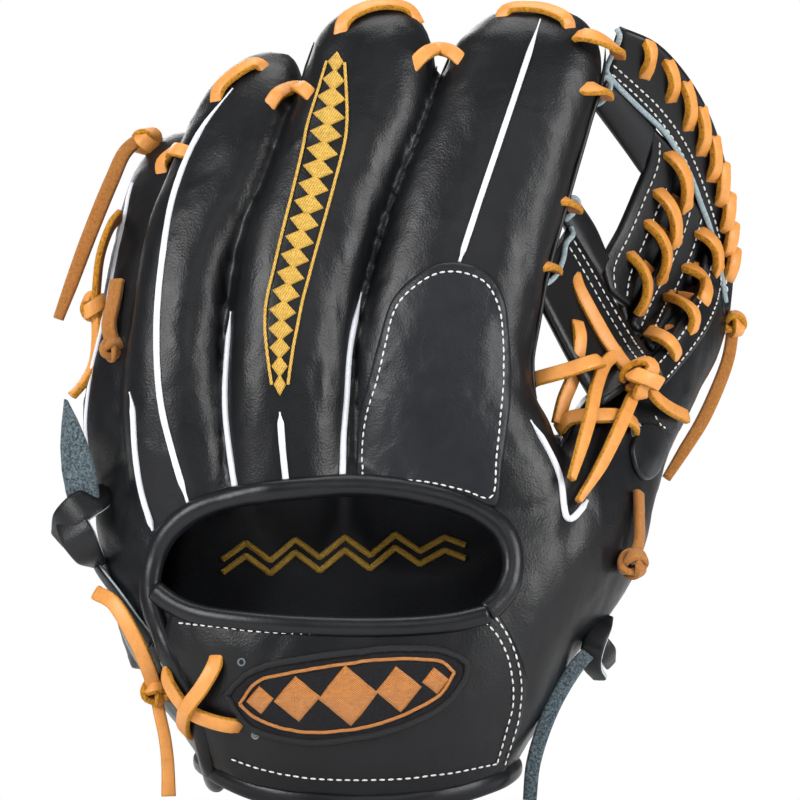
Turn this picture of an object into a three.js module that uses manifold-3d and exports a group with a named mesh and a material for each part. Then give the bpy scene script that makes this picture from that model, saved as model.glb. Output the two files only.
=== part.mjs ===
// A fielder's glove for the left hand, standing on nothing and held by its hand opening.
// Millimetres, +Z from the strap to the fingertips, -Y out of the back, +X towards the thumb.
import * as THREE from 'three';
import ManifoldModule from 'manifold-3d';
import { mergeVertices, toCreasedNormals } from 'three/addons/utils/BufferGeometryUtils.js';

const wasm = await ManifoldModule();
wasm.setup();

// The glove from the strap's lower edge to the middle fingertip. Every route and outline
// below is a list of [across, up] or [across, deep, up] shares of this height.
const GLOVE_HEIGHT = 278;

const FINGER_WALL = 5;
const BACK_WALL = 4;
const PALM_SKIN = 3.2;
const PALM_STACK = 9.4;
const LINING_THICKNESS = 1.3;
const PLAY = 0.3;
const SIDE_PLAY = 0.5;
const HINGE_PLAY = 1;
const TIP_ROUND = 0.0827 * GLOVE_HEIGHT;
const STALL_STOP = 0.0576 * GLOVE_HEIGHT;

const WELT_WIDTH = 1.9;
const WELT_PROUD = 0.9;
const WELT_SUNK = 1.6;
const SEAM_WELT_PROUD = 1.4;

const LACE_WIDTH = 5.4;
const LACE_THICKNESS = 2.1;
const ROLL_WIDTH = 7.6;
const ROLL_DEPTH = 6.4;

const BODY_HEIGHT = 0.4489 * GLOVE_HEIGHT;
const BODY_LEFT = 0.3129 * GLOVE_HEIGHT;
const BODY_RIGHT = 0.3813 * GLOVE_HEIGHT;
const BODY_BACK = 0.1619 * GLOVE_HEIGHT;
const BODY_PALM = 0.0935 * GLOVE_HEIGHT;
const HEM_REACH = 0.0504 * GLOVE_HEIGHT;
const BODY_CROWN = 0.0144 * GLOVE_HEIGHT;
const CUP_LEFT = 0.0612 * GLOVE_HEIGHT;
const CUP_RIGHT = 0.0252 * GLOVE_HEIGHT;
const ROLL_STEP = 12;
const LACE_STEP = 3.6;
const TAIL_STEP = 7;

const REACH = 0.7914 * GLOVE_HEIGHT;

const bodyLeftShares = [0.48, 0.56, 0.64, 0.73, 0.8, 0.87, 0.91, 0.95, 0.97, 0.99, 0.98, 0.93, 0.78];
const bodyRightShares = [0.53, 0.585, 0.645, 0.7, 0.745, 0.79, 0.84, 0.885, 0.925, 0.94, 0.93, 0.82, 0.6];
const bodyBackShares = [0.84, 0.91, 0.955, 0.99, 1, 0.99, 0.955, 0.9, 0.82, 0.73, 0.64, 0.48, 0.26];
const bodyPalmShares = [0.77, 0.88, 0.96, 1, 1, 1, 0.99, 0.97, 0.93, 0.87, 0.79, 0.68, 0.5];

// How deep the palm's pocket is at its middle, and how that changes up the hand.
const POCKET_DEPTH = 0.0288 * GLOVE_HEIGHT;
const pocketShares = [0.05, 0.2, 0.45, 0.75, 0.95, 1, 1, 1, 1];

const cupShares = [0.15, 0.25, 0.36, 0.48, 0.6, 0.72, 0.83, 0.92, 1, 1, 1, 1, 1];

const thicknessShares = [1, 0.98, 0.96, 0.9, 0.83, 0.78, 0.73, 0.7, 0.67, 0.65, 0.62];
const fingerCurlShares = [0, 0, 0.02, 0.05, 0.11, 0.19, 0.29, 0.42, 0.57, 0.77, 1];

// Each finger is a run of rounded sections: where its root is, how far the tip leans
// sideways and curls to the palm, and how its width changes along its length.
const INDEX = {
  rootXShare: 0.14101, rootYShare: -0.01439, rootZShare: 0.35971, lengthShare: 0.63129,
  tipLeanShare: 0.09892, tipCurlShare: 0.1259, fullWidthShare: 0.27338, fullThicknessShare: 0.17266,
  rootReachShare: 0.08633, rootShare: 0.8, rootMergeShare: 0.02158, turnAngle: 0,
  leanShares: [0, -0.08, -0.16, -0.14, 0, 0.15, 0.35, 0.57, 0.8, 1, 1],
  widthShares: [1, 0.93, 0.83, 0.81, 0.8, 0.785, 0.765, 0.74, 0.71, 0.69, 0.66],
  thicknessShares,
  curlShares: fingerCurlShares,
};
const MIDDLE = {
  rootXShare: -0.06295, rootYShare: -0.02158, rootZShare: 0.35971, lengthShare: 0.63309,
  tipLeanShare: 0.12338, tipCurlShare: 0.13669, fullWidthShare: 0.16547, fullThicknessShare: 0.17266,
  rootReachShare: 0.08633, rootShare: 0.8, rootMergeShare: 0.02158, turnAngle: 0,
  leanShares: [0, -0.01, -0.02, 0.01, 0.06, 0.16, 0.34, 0.54, 0.75, 0.87, 1],
  widthShares: [0.79, 0.85, 0.91, 0.94, 0.97, 1, 0.96, 0.96, 0.98, 0.95, 0.91],
  thicknessShares,
  curlShares: fingerCurlShares,
};
const RING = {
  rootXShare: -0.18273, rootYShare: 0, rootZShare: 0.35971, lengthShare: 0.57302,
  tipLeanShare: 0.1036, tipCurlShare: 0.14388, fullWidthShare: 0.14388, fullThicknessShare: 0.15108,
  rootReachShare: 0.08633, rootShare: 0.75, rootMergeShare: 0.01799, turnAngle: -25,
  leanShares: [0, -0.08, -0.15, -0.17, -0.13, -0.07, 0.07, 0.32, 0.52, 0.77, 1],
  widthShares: [0.79, 0.88, 0.9, 0.88, 0.87, 0.87, 0.92, 1, 0.97, 0.89, 0.79],
  thicknessShares,
  curlShares: fingerCurlShares,
};
const PINKY = {
  rootXShare: -0.24676, rootYShare: 0.06835, rootZShare: 0.35971, lengthShare: 0.47374,
  tipLeanShare: 0.04281, tipCurlShare: 0.15108, fullWidthShare: 0.14388, fullThicknessShare: 0.1295,
  rootReachShare: 0.20863, rootShare: 0.3, rootMergeShare: 0.0036, turnAngle: -50,
  leanShares: [0, -0.15, -0.24, -0.2, -0.09, 0.06, 0.18, 0.35, 0.59, 0.82, 1],
  widthShares: [0.8, 0.9, 0.97, 0.99, 0.97, 0.95, 0.93, 0.91, 0.88, 0.84, 0.8],
  thicknessShares: [0.8, 0.88, 0.93, 0.9, 0.83, 0.78, 0.73, 0.7, 0.67, 0.65, 0.62],
  curlShares: fingerCurlShares,
};
const THUMB = {
  rootXShare: 0.22302, rootYShare: -0.02158, rootZShare: 0.16187, lengthShare: 0.46763,
  tipLeanShare: 0.25899, tipCurlShare: 0.31655, fullWidthShare: 0.20144, fullThicknessShare: 0.1295,
  rootReachShare: 0.09353, rootShare: 0.4, rootMergeShare: 0.0036, turnAngle: 58,
  leanShares: [0, 0.1, 0.2, 0.29, 0.36, 0.43, 0.52, 0.63, 0.75, 0.88, 1],
  widthShares: [0.55, 0.74, 0.9, 0.99, 1, 0.93, 0.83, 0.73, 0.66, 0.62, 0.6],
  thicknessShares: [0.66, 0.78, 0.88, 0.92, 0.86, 0.77, 0.7, 0.64, 0.6, 0.58, 0.56],
  curlShares: [0, 0.011, 0.045, 0.1, 0.18, 0.295, 0.43, 0.557, 0.705, 0.84, 1],
};

// The rolled binding round the opening for the wrist, and the roll on top of the strap.
const bindingShares = [
  [-0.1612, 0.0378], [-0.1763, 0.0818], [-0.204, 0.1259], [-0.2266, 0.17], [-0.243, 0.214],
  [-0.248, 0.2518], [-0.2392, 0.2896],
  [-0.2203, 0.3236], [-0.1826, 0.3525], [-0.1259, 0.3701], [-0.0504, 0.3802], [0.0252, 0.384],
  [0.1007, 0.3752], [0.1637, 0.3563],
  [0.2052, 0.3273], [0.2165, 0.2896], [0.2077, 0.2518], [0.1826, 0.2266],
];
const strapTopShares = [
  [0.1826, 0.2241], [0.1385, 0.214], [0.0755, 0.209], [-0.0126, 0.209], [-0.1007, 0.214],
  [-0.1763, 0.2241], [-0.2203, 0.2417],
];
const hemShares = [
  [-0.3525, 0.1259], [-0.277, 0.107], [-0.2203, 0.0781], [-0.1888, 0.0478], [-0.1448, 0.0227],
  [-0.1007, 0.005], [-0.0126, -0.0088],
  [0.0755, -0.0076], [0.1511, 0.005], [0.2077, 0.0227], [0.2518, 0.0567], [0.3273, 0.1133],
  [0.4532, 0.1888],
];

// White welts sewn into the back, each from its upper end to its lower end.
const weltRoutes = {
  welt_pinky_ring: [[-0.2594, 0.4847], [-0.2556, 0.4281], [-0.248, 0.3777], [-0.2329, 0.3273]],
  welt_ring_ridge: [
    [-0.136, 0.8851], [-0.1763, 0.8309], [-0.2077, 0.7554], [-0.2228, 0.6673], [-0.2291, 0.5791],
    [-0.2241, 0.491], [-0.2077, 0.4218], [-0.1876, 0.355],
  ],
  welt_ring_middle: [[-0.1372, 0.5854], [-0.1423, 0.491], [-0.1372, 0.4344], [-0.1284, 0.3727]],
  welt_middle_short: [[-0.0743, 0.4734], [-0.0705, 0.4281], [-0.0655, 0.3777]],
  welt_middle_index: [[0.0264, 0.6257], [0.0126, 0.5603], [0.0076, 0.491], [0.0038, 0.4406],
    [0.0038, 0.3777]],
  welt_index_ridge: [[0.2531, 0.9719], [0.2291, 0.9002], [0.2014, 0.8183], [0.1737, 0.7365],
    [0.1498, 0.6635]],
  welt_thumb_crotch: [[0.2379, 0.4658], [0.2581, 0.4331], [0.2745, 0.3966], [0.2858, 0.3399]],
};

// The seam between the hand and the thumb panel, and the strap's cut edge below it.
const thumbSeamShares = [[0.2858, 0.3399], [0.2581, 0.321], [0.2329, 0.3022], [0.2115, 0.2871]];
const strapEdgeShares = [[0.2103, 0.2518], [0.2228, 0.2077], [0.2304, 0.1637], [0.2266, 0.1133],
  [0.2077, 0.0353], [0.2052, -0.0126]];
const liningShares = [[-0.2896, 0.4658], [0.277, 0.4658], [0.2581, 0.2392], [0.2077, 0.0567],
  [-0.1574, 0.0567], [-0.2896, 0.2392]];
const palmPadShares = [[-0.1763, 0.4029], [0.1133, 0.4029], [0.1259, 0.2896], [0.0755, 0.1888],
  [-0.1385, 0.1888], [-0.2014, 0.2896]];

// The hinge line of the thumb, as seen from the back: where it meets the base and how it leans.
const HINGE_FOOT = 0.0817 * GLOVE_HEIGHT;
const HINGE_LEAN = 15.7;
const hingeAt = (z) => HINGE_FOOT + z * Math.tan(HINGE_LEAN * Math.PI / 180);

// Laces that run over the back: [across, up, lift] shares from hole to hole.
const laceRuns = {
  tip_lace_pinky: [[-0.2304, 0.7743, -0.0072], [-0.2291, 0.7894, 0.0054],
    [-0.2165, 0.7995, 0.0061], [-0.2014, 0.8045, 0.0061], [-0.1926, 0.802, -0.0036]],
  tip_lace_ring: [[-0.1599, 0.8674, -0.0072], [-0.1523, 0.8813, 0.0058],
    [-0.1284, 0.9027, 0.0061], [-0.1058, 0.914, 0.0058], [-0.0932, 0.9128, -0.0072]],
  tip_lace_ring_middle: [[-0.0906, 0.8612, -0.0072], [-0.0793, 0.8763, 0.0058],
    [-0.0604, 0.8826, 0.0058], [-0.0428, 0.8813, 0.0058], [-0.0353, 0.8737, -0.0072]],
  tip_lace_middle: [[-0.0025, 0.9518, -0.0072], [0.0063, 0.9669, 0.0058],
    [0.0277, 0.9808, 0.0061], [0.0567, 0.9871, 0.0061], [0.0844, 0.9833, 0.0058],
    [0.102, 0.9707, -0.0072]],
  tip_lace_middle_index: [[0.0919, 0.9103, -0.0072], [0.102, 0.9254, 0.0058],
    [0.1259, 0.9317, 0.0058], [0.146, 0.9279, 0.0058], [0.1536, 0.9191, -0.0072]],
  tip_lace_index: [[0.2014, 0.9757, -0.0072], [0.2115, 0.982, 0.0058], [0.2455, 0.9833, 0.0061],
    [0.2682, 0.9782, 0.0058], [0.2845, 0.9694, 0.0058], [0.2921, 0.9606, -0.0072]],
};

// Loose laces in the air: [across, deep, up] shares.
const airLaces = {
  pinky_tip_tail: [[
    [-0.243, 0.1871, 0.8209], [-0.2556, 0.1835, 0.8234], [-0.2745, 0.1727, 0.8095],
    [-0.2921, 0.1583, 0.7718], [-0.321, 0.1367, 0.6987], [-0.3437, 0.1223, 0.6358],
    [-0.3588, 0.1151, 0.5942]]],
  thumb_tip_tail: [[[0.5049, 0.2878, 0.5892], [0.5036, 0.2878, 0.5691], [0.4973, 0.2806, 0.5388],
    [0.4671, 0.259, 0.4683], [0.4406, 0.2446, 0.4255], [0.418, 0.2338, 0.3903]]],
  heel_tail: [[[-0.2291, -0.0468, 0.1171], [-0.2254, -0.0504, 0.0982], [-0.2191, -0.054, 0.0692],
    [-0.2153, -0.054, 0.0378], [-0.214, -0.054, -0.005]]],
  right_leather_tail: [[
    [0.3198, 0, 0.1763], [0.3047, -0.0216, 0.1662], [0.2871, -0.0324, 0.1423],
    [0.2682, -0.0432, 0.1095], [0.2518, -0.0468, 0.0692], [0.2417, -0.0504, 0.0315],
    [0.2379, -0.0504, -0.0101]]],
  web_tail_left: [[[0.355, 0.0791, 0.5514], [0.3362, 0.0504, 0.5388], [0.3236, 0.0144, 0.5099],
    [0.3147, -0.0216, 0.4721], [0.3022, -0.054, 0.4306], [0.2896, -0.0827, 0.3928]]],
  web_tail_right: [[[0.3777, 0.0935, 0.5162], [0.3676, 0.036, 0.491], [0.35, -0.0072, 0.4532],
    [0.3273, -0.0432, 0.4092], [0.2984, -0.0791, 0.3651]]],
  crotch_lace: [
    [[0.2455, 0.0144, 0.5162], [0.2644, 0.0288, 0.5237], [0.2845, 0.0468, 0.53],
    [0.3047, 0.0612, 0.5351], [0.3248, 0.0791, 0.5388]],
    [[0.2946, 0.0755, 0.5942], [0.2946, 0.0481, 0.5829], [0.2896, 0.0432, 0.554],
    [0.2845, 0.0432, 0.5288], [0.2782, 0.0216, 0.491], [0.277, 0.0108, 0.4595]],
    [[0.2745, 0.0108, 0.452], [0.2959, -0.0005, 0.457], [0.3236, 0.0021, 0.4621],
    [0.35, 0.0273, 0.4646], [0.3676, 0.0472, 0.4545], [0.3752, 0.0554, 0.4482]],
  ],
};

const FINGER_KNOT = 11;
const SUEDE_KNOT = 10;
const SIDE_KNOT = 12;
const WIDE_KNOT = 17;
const TIE_KNOT = 15;

// Knots and the lace that comes out of them: place, size and axis, then the ends.
const knotPlaces = {
  pinky_tip_knot: { at: [-0.248, 0.1871, 0.8221], size: FINGER_KNOT, axis: [1, 0.3, 0.2], ends: [[[-0.2442, 0.1871, 0.8221], [-0.2291, 0.2014, 0.8171]]] },
  pinky_side_knot: {
    at: [-0.3122, 0.0971, 0.6094], size: FINGER_KNOT, axis: [0.2, 0.2, 1],
    ends: [
      [[-0.282, 0.1295, 0.7252], [-0.2921, 0.1079, 0.7113], [-0.3047, 0.0935, 0.6736],
      [-0.311, 0.0971, 0.6169]],
      [[-0.311, 0.0971, 0.6094], [-0.3085, 0.0899, 0.5791], [-0.3122, 0.0791, 0.5388],
      [-0.3248, 0.0719, 0.5137], [-0.3399, 0.0683, 0.496]],
    ],
  },
  pinky_suede_knot: {
    at: [-0.2871, 0.0432, 0.5552], size: SUEDE_KNOT, axis: [0.3, 1, 0.2],
    ends: [[[-0.2782, 0.0741, 0.6408], [-0.2808, 0.0616, 0.6169], [-0.2845, 0.0429, 0.5791],
      [-0.2858, 0.0432, 0.5603]], [[-0.2871, 0.0432, 0.5552], [-0.277, 0.0429, 0.5514]]],
  },
  heel_knot: {
    at: [-0.2304, -0.0504, 0.1272], size: SIDE_KNOT, axis: [0.3, 1, 0.6],
    ends: [
      [[-0.3047, -0.0396, 0.2493], [-0.282, -0.0719, 0.2367], [-0.2568, -0.0863, 0.1964],
      [-0.2392, -0.0719, 0.1561], [-0.2304, -0.0504, 0.1259]],
      [[-0.2266, -0.0468, 0.1259], [-0.2128, -0.0792, 0.1209]],
    ],
  },
  thumb_tip_knot: { at: [0.5061, 0.2878, 0.5892], size: SUEDE_KNOT, axis: [0.3, 1, 0], ends: [[[0.5036, 0.2878, 0.5892], [0.486, 0.2878, 0.5892]]] },
  thumb_side_knot: {
    at: [0.3525, -0.0259, 0.2883], size: SIDE_KNOT, axis: [0, 1, 0.2],
    ends: [[[0.3714, 0.0206, 0.3739], [0.3689, 0.0044, 0.3462], [0.3638, -0.0111, 0.3147],
      [0.355, -0.0253, 0.2921]], [[0.3525, -0.0259, 0.2883], [0.3525, -0.0025, 0.2883]]],
  },
  web_knot: {
    at: [0.379, 0.1079, 0.52], size: WIDE_KNOT, axis: [0.2, 1, 0.3],
    ends: [
      [[0.2959, 0.0967, 0.6509], [0.2984, 0.0795, 0.6408], [0.3147, 0.0784, 0.6068],
      [0.3399, 0.0816, 0.564], [0.3676, 0.1079, 0.5288]],
      [[0.384, 0.1043, 0.5162], [0.4054, 0.0935, 0.496], [0.4406, 0.1223, 0.4683]],
    ],
  },
  left_leather_tie: {
    at: [-0.3248, 0.0144, 0.3311], size: WIDE_KNOT, axis: [0.2, 1, 0.3],
    ends: [
      [[-0.345, 0.0072, 0.4885], [-0.3387, -0.0108, 0.4432], [-0.3311, -0.0072, 0.3903],
      [-0.3248, 0.0108, 0.3399]],
      [[-0.3248, 0.0144, 0.3311], [-0.3047, 0.0528, 0.2984], [-0.277, -0.0223, 0.2543],
      [-0.2493, -0.0758, 0.214], [-0.2354, -0.069, 0.1914]],
    ],
  },
  right_leather_tie: {
    at: [0.3236, 0, 0.18], size: TIE_KNOT, axis: [0.2, 1, 0.1],
    ends: [[[0.321, 0, 0.18], [0.3047, 0.0144, 0.1888]]],
  },
};
const strapCrossLace = [
  [[-0.2115, 0.1624, -0.009], [-0.2052, 0.1523, 0.0058], [-0.1926, 0.1335, 0.0169],
  [-0.1725, 0.1108, 0.018], [-0.1486, 0.0982, 0.0094], [-0.1284, 0.0919, 0.0054],
  [-0.1221, 0.0856, -0.009]],
  [[-0.1498, 0.1725, -0.009], [-0.1498, 0.1599, 0.0061], [-0.1586, 0.1385, 0.0194],
  [-0.17, 0.1158, 0.0266], [-0.1788, 0.0982, 0.0173], [-0.1838, 0.0831, 0.005],
  [-0.1863, 0.0755, -0.009]],
];
const webTies = {
  web_tie_upper: [
    [0.3525, 0.0863, 0.9266], [0.3487, 0.0612, 0.9354], [0.3362, 0.0504, 0.943],
    [0.321, 0.0432, 0.9493], [0.3059, 0.0396, 0.9518], [0.2946, 0.0647, 0.9417],
    [0.2871, 0.0647, 0.914],
    [0.2883, 0.0576, 0.8888], [0.2996, 0.036, 0.8826], [0.3147, 0.0396, 0.8851],
    [0.3299, 0.0576, 0.8826], [0.3374, 0.0863, 0.875],
  ],
  web_tie_lower: [
    [0.2984, 0.0719, 0.7315], [0.2908, 0.0432, 0.739], [0.2782, 0.0216, 0.7441],
    [0.2656, 0.0108, 0.7453], [0.2531, 0.0288, 0.7353], [0.2405, 0.0252, 0.7025],
    [0.2317, 0.0144, 0.6723],
    [0.2417, -0.0036, 0.6622], [0.2556, 0.0072, 0.6635], [0.2656, 0.0252, 0.6597],
    [0.2719, 0.0432, 0.6534],
  ],
};
const thumbLoopShares = [
  [0.3676, 0.4507], [0.4029, 0.4532], [0.4079, 0.4331], [0.4041, 0.4117], [0.3903, 0.3941],
  [0.3727, 0.3953], [0.3613, 0.4092], [0.3576, 0.4293],
];

const fingerPadShares = [
  [0.0214, 0.3827], [0.0264, 0.4658], [0.0378, 0.5124], [0.0516, 0.5665], [0.0667, 0.6131],
  [0.0881, 0.6383], [0.1221, 0.6585], [0.1549, 0.6597],
  [0.1851, 0.6471], [0.204, 0.6156], [0.2103, 0.5665], [0.2115, 0.491], [0.2014, 0.4092],
  [0.1926, 0.3588], [0.1637, 0.3689], [0.1007, 0.3815], [0.0441, 0.3815],
];
const strapPatchShares = [
  [-0.1309, 0.1259], [-0.0982, 0.1536], [-0.0126, 0.1637], [0.0881, 0.1737], [0.141, 0.17],
  [0.1536, 0.1536], [0.1259, 0.1133], [0.0504, 0.0856],
  [-0.0378, 0.0755], [-0.0982, 0.0856],
];
const patchSewingShares = [
  [-0.1158, 0.1209], [-0.0818, 0.1385], [-0.0504, 0.1209], [-0.0189, 0.1435], [0.0126, 0.1234],
  [0.0441, 0.1511], [0.0755, 0.1335], [0.107, 0.1586], [0.1385, 0.1536],
  [0.1108, 0.1234], [0.0806, 0.1209], [0.0504, 0.1007], [0.0176, 0.1108], [-0.0126, 0.0906],
  [-0.0453, 0.1083], [-0.0781, 0.0982],
];
const liningSewingShares = [
  [-0.1511, 0.2896], [-0.1196, 0.3072], [-0.0881, 0.2871], [-0.0567, 0.3147], [-0.0252, 0.2921],
  [0.0063, 0.3173], [0.0378, 0.2946], [0.0692, 0.3198], [0.1007, 0.2996],
  [0.1322, 0.3173], [0.1536, 0.3085], [0.1322, 0.2971], [0.1007, 0.282], [0.0692, 0.2996],
  [0.0378, 0.2745], [0.0063, 0.2971], [-0.0252, 0.2719], [-0.0567, 0.2921],
  [-0.0881, 0.2694], [-0.1196, 0.2871],
];
const fingerSewingShares = [
  [0, 0.9254], [0.0113, 0.8876], [-0.0076, 0.8536], [-0.0013, 0.8335], [-0.0201, 0.7995],
  [-0.0164, 0.7781], [-0.0353, 0.7428], [-0.0327, 0.7227], [-0.0504, 0.6874],
  [-0.0491, 0.6673], [-0.0655, 0.6295], [-0.0655, 0.6094], [-0.0755, 0.5728], [-0.0743, 0.5162],
  [-0.0906, 0.5728], [-0.0793, 0.6119], [-0.0944, 0.632],
  [-0.0629, 0.6698], [-0.0743, 0.6924], [-0.0466, 0.7252], [-0.0579, 0.7478], [-0.0302, 0.7806],
  [-0.0403, 0.8058], [-0.0151, 0.836], [-0.0227, 0.8612],
];

const COAT_GAP = 0.15;
const KNOT_ROOM = 0.66;
const PAD_PROUD = 1.4;
const THREAD_PROUD = 0.9;
const LOOP_PROUD = 2;
const TIE_PLAY = 1.8;
const WEB_LACE_WIDTH = 4.6;
const WEB_LACE_THICKNESS = 1.8;
const WEB_LACE_STEP = 2.9;
const WEB_LACE_PLAY = 0.35;
const WEB_THICKNESS = 4;
const FINISH = 0.12;
const SAME_POINT = 1e-5;
const WEB_BULGE = 0.5;
const RIM_TURNS = 10;
const RIM_FROM_SHARE = 0.12;
const RIM_TO_SHARE = 0.9;
const RIM_INSET = 4;
const LACE_OVER = 1.7;
const LINING_EDGE = 4;

// Web panels, each between a left and a right edge.
const webOutlines = {
  web_rim_band: {
    left: [[0.3399, 0.0951, 0.9065], [0.3966, 0.1427, 0.8498], [0.4318, 0.18, 0.8058],
      [0.4595, 0.2201, 0.7491], [0.4809, 0.2543, 0.6924], [0.4923, 0.2774, 0.6295]],
    right: [[0.35, 0.0649, 0.9606], [0.4029, 0.0889, 0.9379], [0.4532, 0.1429, 0.8813],
      [0.4847, 0.1982, 0.8183], [0.5011, 0.2433, 0.7554], [0.5061, 0.274, 0.6924],
      [0.5049, 0.2882, 0.6358]],
  },
  web_upper_roll: {
    left: [[0.3173, 0.1043, 0.8662], [0.3525, 0.1344, 0.8209], [0.3815, 0.1612, 0.7818]],
    right: [[0.3424, 0.0996, 0.8989], [0.3727, 0.123, 0.8712], [0.3915, 0.1401, 0.8511]],
  },
  web_post_left: {
    left: [[0.3941, 0.1471, 0.8385], [0.3966, 0.1619, 0.8058], [0.3777, 0.1647, 0.7554],
      [0.3588, 0.1552, 0.7113], [0.3362, 0.1315, 0.6647], [0.3424, 0.1322, 0.6396]],
    right: [[0.4344, 0.1848, 0.7982], [0.423, 0.1924, 0.7617], [0.4079, 0.1913, 0.7252],
      [0.3903, 0.1813, 0.6862], [0.3739, 0.1645, 0.6484], [0.3651, 0.1493, 0.6144]],
  },
  web_post_middle: {
    left: [[0.4457, 0.2084, 0.7567], [0.4344, 0.2129, 0.7151], [0.4155, 0.2035, 0.6698],
      [0.3928, 0.1801, 0.627], [0.3777, 0.1561, 0.5892]],
    right: [[0.4633, 0.2332, 0.7189], [0.452, 0.2345, 0.6748], [0.4318, 0.219, 0.6295],
      [0.4092, 0.1909, 0.5892], [0.3966, 0.1691, 0.5603]],
  },
  web_post_right: {
    left: [[0.4772, 0.2566, 0.671], [0.4646, 0.2505, 0.6345], [0.4457, 0.2312, 0.5942],
      [0.4255, 0.2031, 0.5603], [0.4129, 0.1819, 0.5388]],
    right: [[0.491, 0.2779, 0.6144], [0.4809, 0.2682, 0.5754], [0.4633, 0.2434, 0.5388],
      [0.4432, 0.21, 0.5086], [0.4281, 0.1822, 0.4885]],
  },
  web_lower_roll: {
    left: [[0.2845, 0.0967, 0.7201], [0.3047, 0.1078, 0.6887], [0.3273, 0.1211, 0.6547]],
    right: [[0.3022, 0.1128, 0.7441], [0.3223, 0.1258, 0.7101], [0.3374, 0.1344, 0.6748]],
  },
  web_lower_band: {
    left: [[0.2468, 0.0339, 0.6371], [0.2707, 0.036, 0.5917], [0.2921, 0.0378, 0.5514],
      [0.3122, 0.0412, 0.5162], [0.3273, 0.0447, 0.491]],
    right: [[0.2921, 0.0999, 0.7038], [0.3173, 0.1136, 0.6635], [0.3424, 0.1272, 0.6207],
      [0.3701, 0.1437, 0.5766], [0.3966, 0.1612, 0.5376]],
  },
};
const rowOuterShares = [
  [[0.4167, 0.1712, 0.8083], [0.4444, 0.2144, 0.7365]], [[0.4016, 0.1792, 0.7604],
  [0.4293, 0.2138, 0.6874]], [[0.389, 0.178, 0.7201], [0.4067, 0.1952, 0.6421]],
  [[0.3676, 0.1615, 0.6773], [0.3815, 0.1623, 0.5968]],
];
const rowInnerShares = [
  [[0.4583, 0.2337, 0.7038], [0.4822, 0.2639, 0.6559]], [[0.4419, 0.2273, 0.6622],
  [0.4671, 0.254, 0.6156]], [[0.4218, 0.2088, 0.6232], [0.4507, 0.2351, 0.5791]],
  [[0.3966, 0.1752, 0.5817], [0.4306, 0.2056, 0.5464]],
];

const DEGREE = Math.PI / 180;
const FINE_COUNTS = [12, 6, 3];
const COARSE_COUNTS = [8, 3, 2];
const BODY_POINTS = 20;
const BODY_LEVELS = 9;
const ROUNDNESS = 2.4;
const BODY_ROUNDNESS = 2.6;
const ROLL_SIDES = 8;
const WELT_STEPS = 7;
const CREASE = 35 * DEGREE;
const OUT = new THREE.Vector3(0, -1, 0);

// Solids and meshes.
const tip = (share) => new THREE.Vector3(...share).multiplyScalar(GLOVE_HEIGHT);
// A finger's root and sizes in millimetres.
const FINGERS = [INDEX, MIDDLE, RING, PINKY, THUMB].map((shares) => ({
  ...shares,
  root: tip([shares.rootXShare, shares.rootYShare, shares.rootZShare]),
  length: GLOVE_HEIGHT * shares.lengthShare,
  lean: GLOVE_HEIGHT * shares.tipLeanShare,
  curl: GLOVE_HEIGHT * shares.tipCurlShare,
  width: GLOVE_HEIGHT * shares.fullWidthShare,
  thickness: GLOVE_HEIGHT * shares.fullThicknessShare,
  reach: GLOVE_HEIGHT * shares.rootReachShare,
  merge: GLOVE_HEIGHT * shares.rootMergeShare,
}));
const [indexFinger, , , , thumb] = FINGERS;
const flat = (share) => new THREE.Vector2(...share).multiplyScalar(GLOVE_HEIGHT);
const join = (solids) => solids.reduce((sum, solid) => sum.add(solid));
const cutAll = (solid, cutters) => cutters.reduce((left, cutter) => left.subtract(cutter), solid);
const range = (count) => [...Array(count).keys()];

function solidFrom(points, triangles) {
  const cross = new THREE.Vector3();
  const volume = triangles.reduce(
    (sum, [a, b, c]) => sum + points[a].dot(cross.crossVectors(points[b], points[c])), 0);
  const wound = volume > 0 ? triangles : triangles.map(([a, b, c]) => [a, c, b]);
  return new wasm.Manifold(new wasm.Mesh({
    numProp: 3,
    vertProperties: Float32Array.from(points.flatMap((point) => point.toArray())),
    triVerts: Uint32Array.from(wound.flat()),
  }));
}

function solidOf(geometry) {
  geometry.deleteAttribute('normal');
  geometry.deleteAttribute('uv');
  const merged = mergeVertices(geometry, SAME_POINT);
  return new wasm.Manifold(new wasm.Mesh({
    numProp: 3,
    vertProperties: Float32Array.from(merged.attributes.position.array),
    triVerts: Uint32Array.from(merged.index.array),
  }));
}

const biggest = (solid) => solid.decompose().reduce(
  (best, piece) => (piece.volume() > best.volume() ? piece : best));
const nearest = (solid) => solid.decompose().reduce(
  (best, piece) => (piece.boundingBox().min[1] < best.boundingBox().min[1] ? piece : best));

// A value read smoothly from a table of evenly spaced shares.
function spline(shares, at) {
  const last = shares.length - 1;
  const place = Math.min(Math.max(at, 0), 1) * last;
  const cell = Math.min(Math.floor(place), last - 1);
  const t = place - cell;
  const [a, b, c, d] = [-1, 0, 1, 2].map(
    (step) => shares[Math.min(Math.max(cell + step, 0), last)]);
  return b + 0.5 * t * (c - a + t * (2 * a - 5 * b + 4 * c - d + t * (3 * (b - c) + d - a)));
}

// A closed skin over a run of rings that all have the same number of points.
function ringSolid(rings) {
  const count = rings[0].length;
  const points = rings.flat();
  const triangles = [];
  for (let ring = 0; ring + 1 < rings.length; ring += 1) {
    for (let k = 0; k < count; k += 1) {
      const a = ring * count + k;
      const b = ring * count + ((k + 1) % count);
      triangles.push([a, b, b + count], [a, b + count, a + count]);
    }
  }
  [0, rings.length - 1].forEach((ring, end) => {
    const hub = points.length;
    points.push(rings[ring]
      .reduce((sum, point) => sum.add(point), new THREE.Vector3())
      .divideScalar(count));
    for (let k = 0; k < count; k += 1) {
      const a = ring * count + k;
      const b = ring * count + ((k + 1) % count);
      triangles.push(end ? [hub, a, b] : [hub, b, a]);
    }
  });
  return solidFrom(points, triangles);
}

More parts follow.
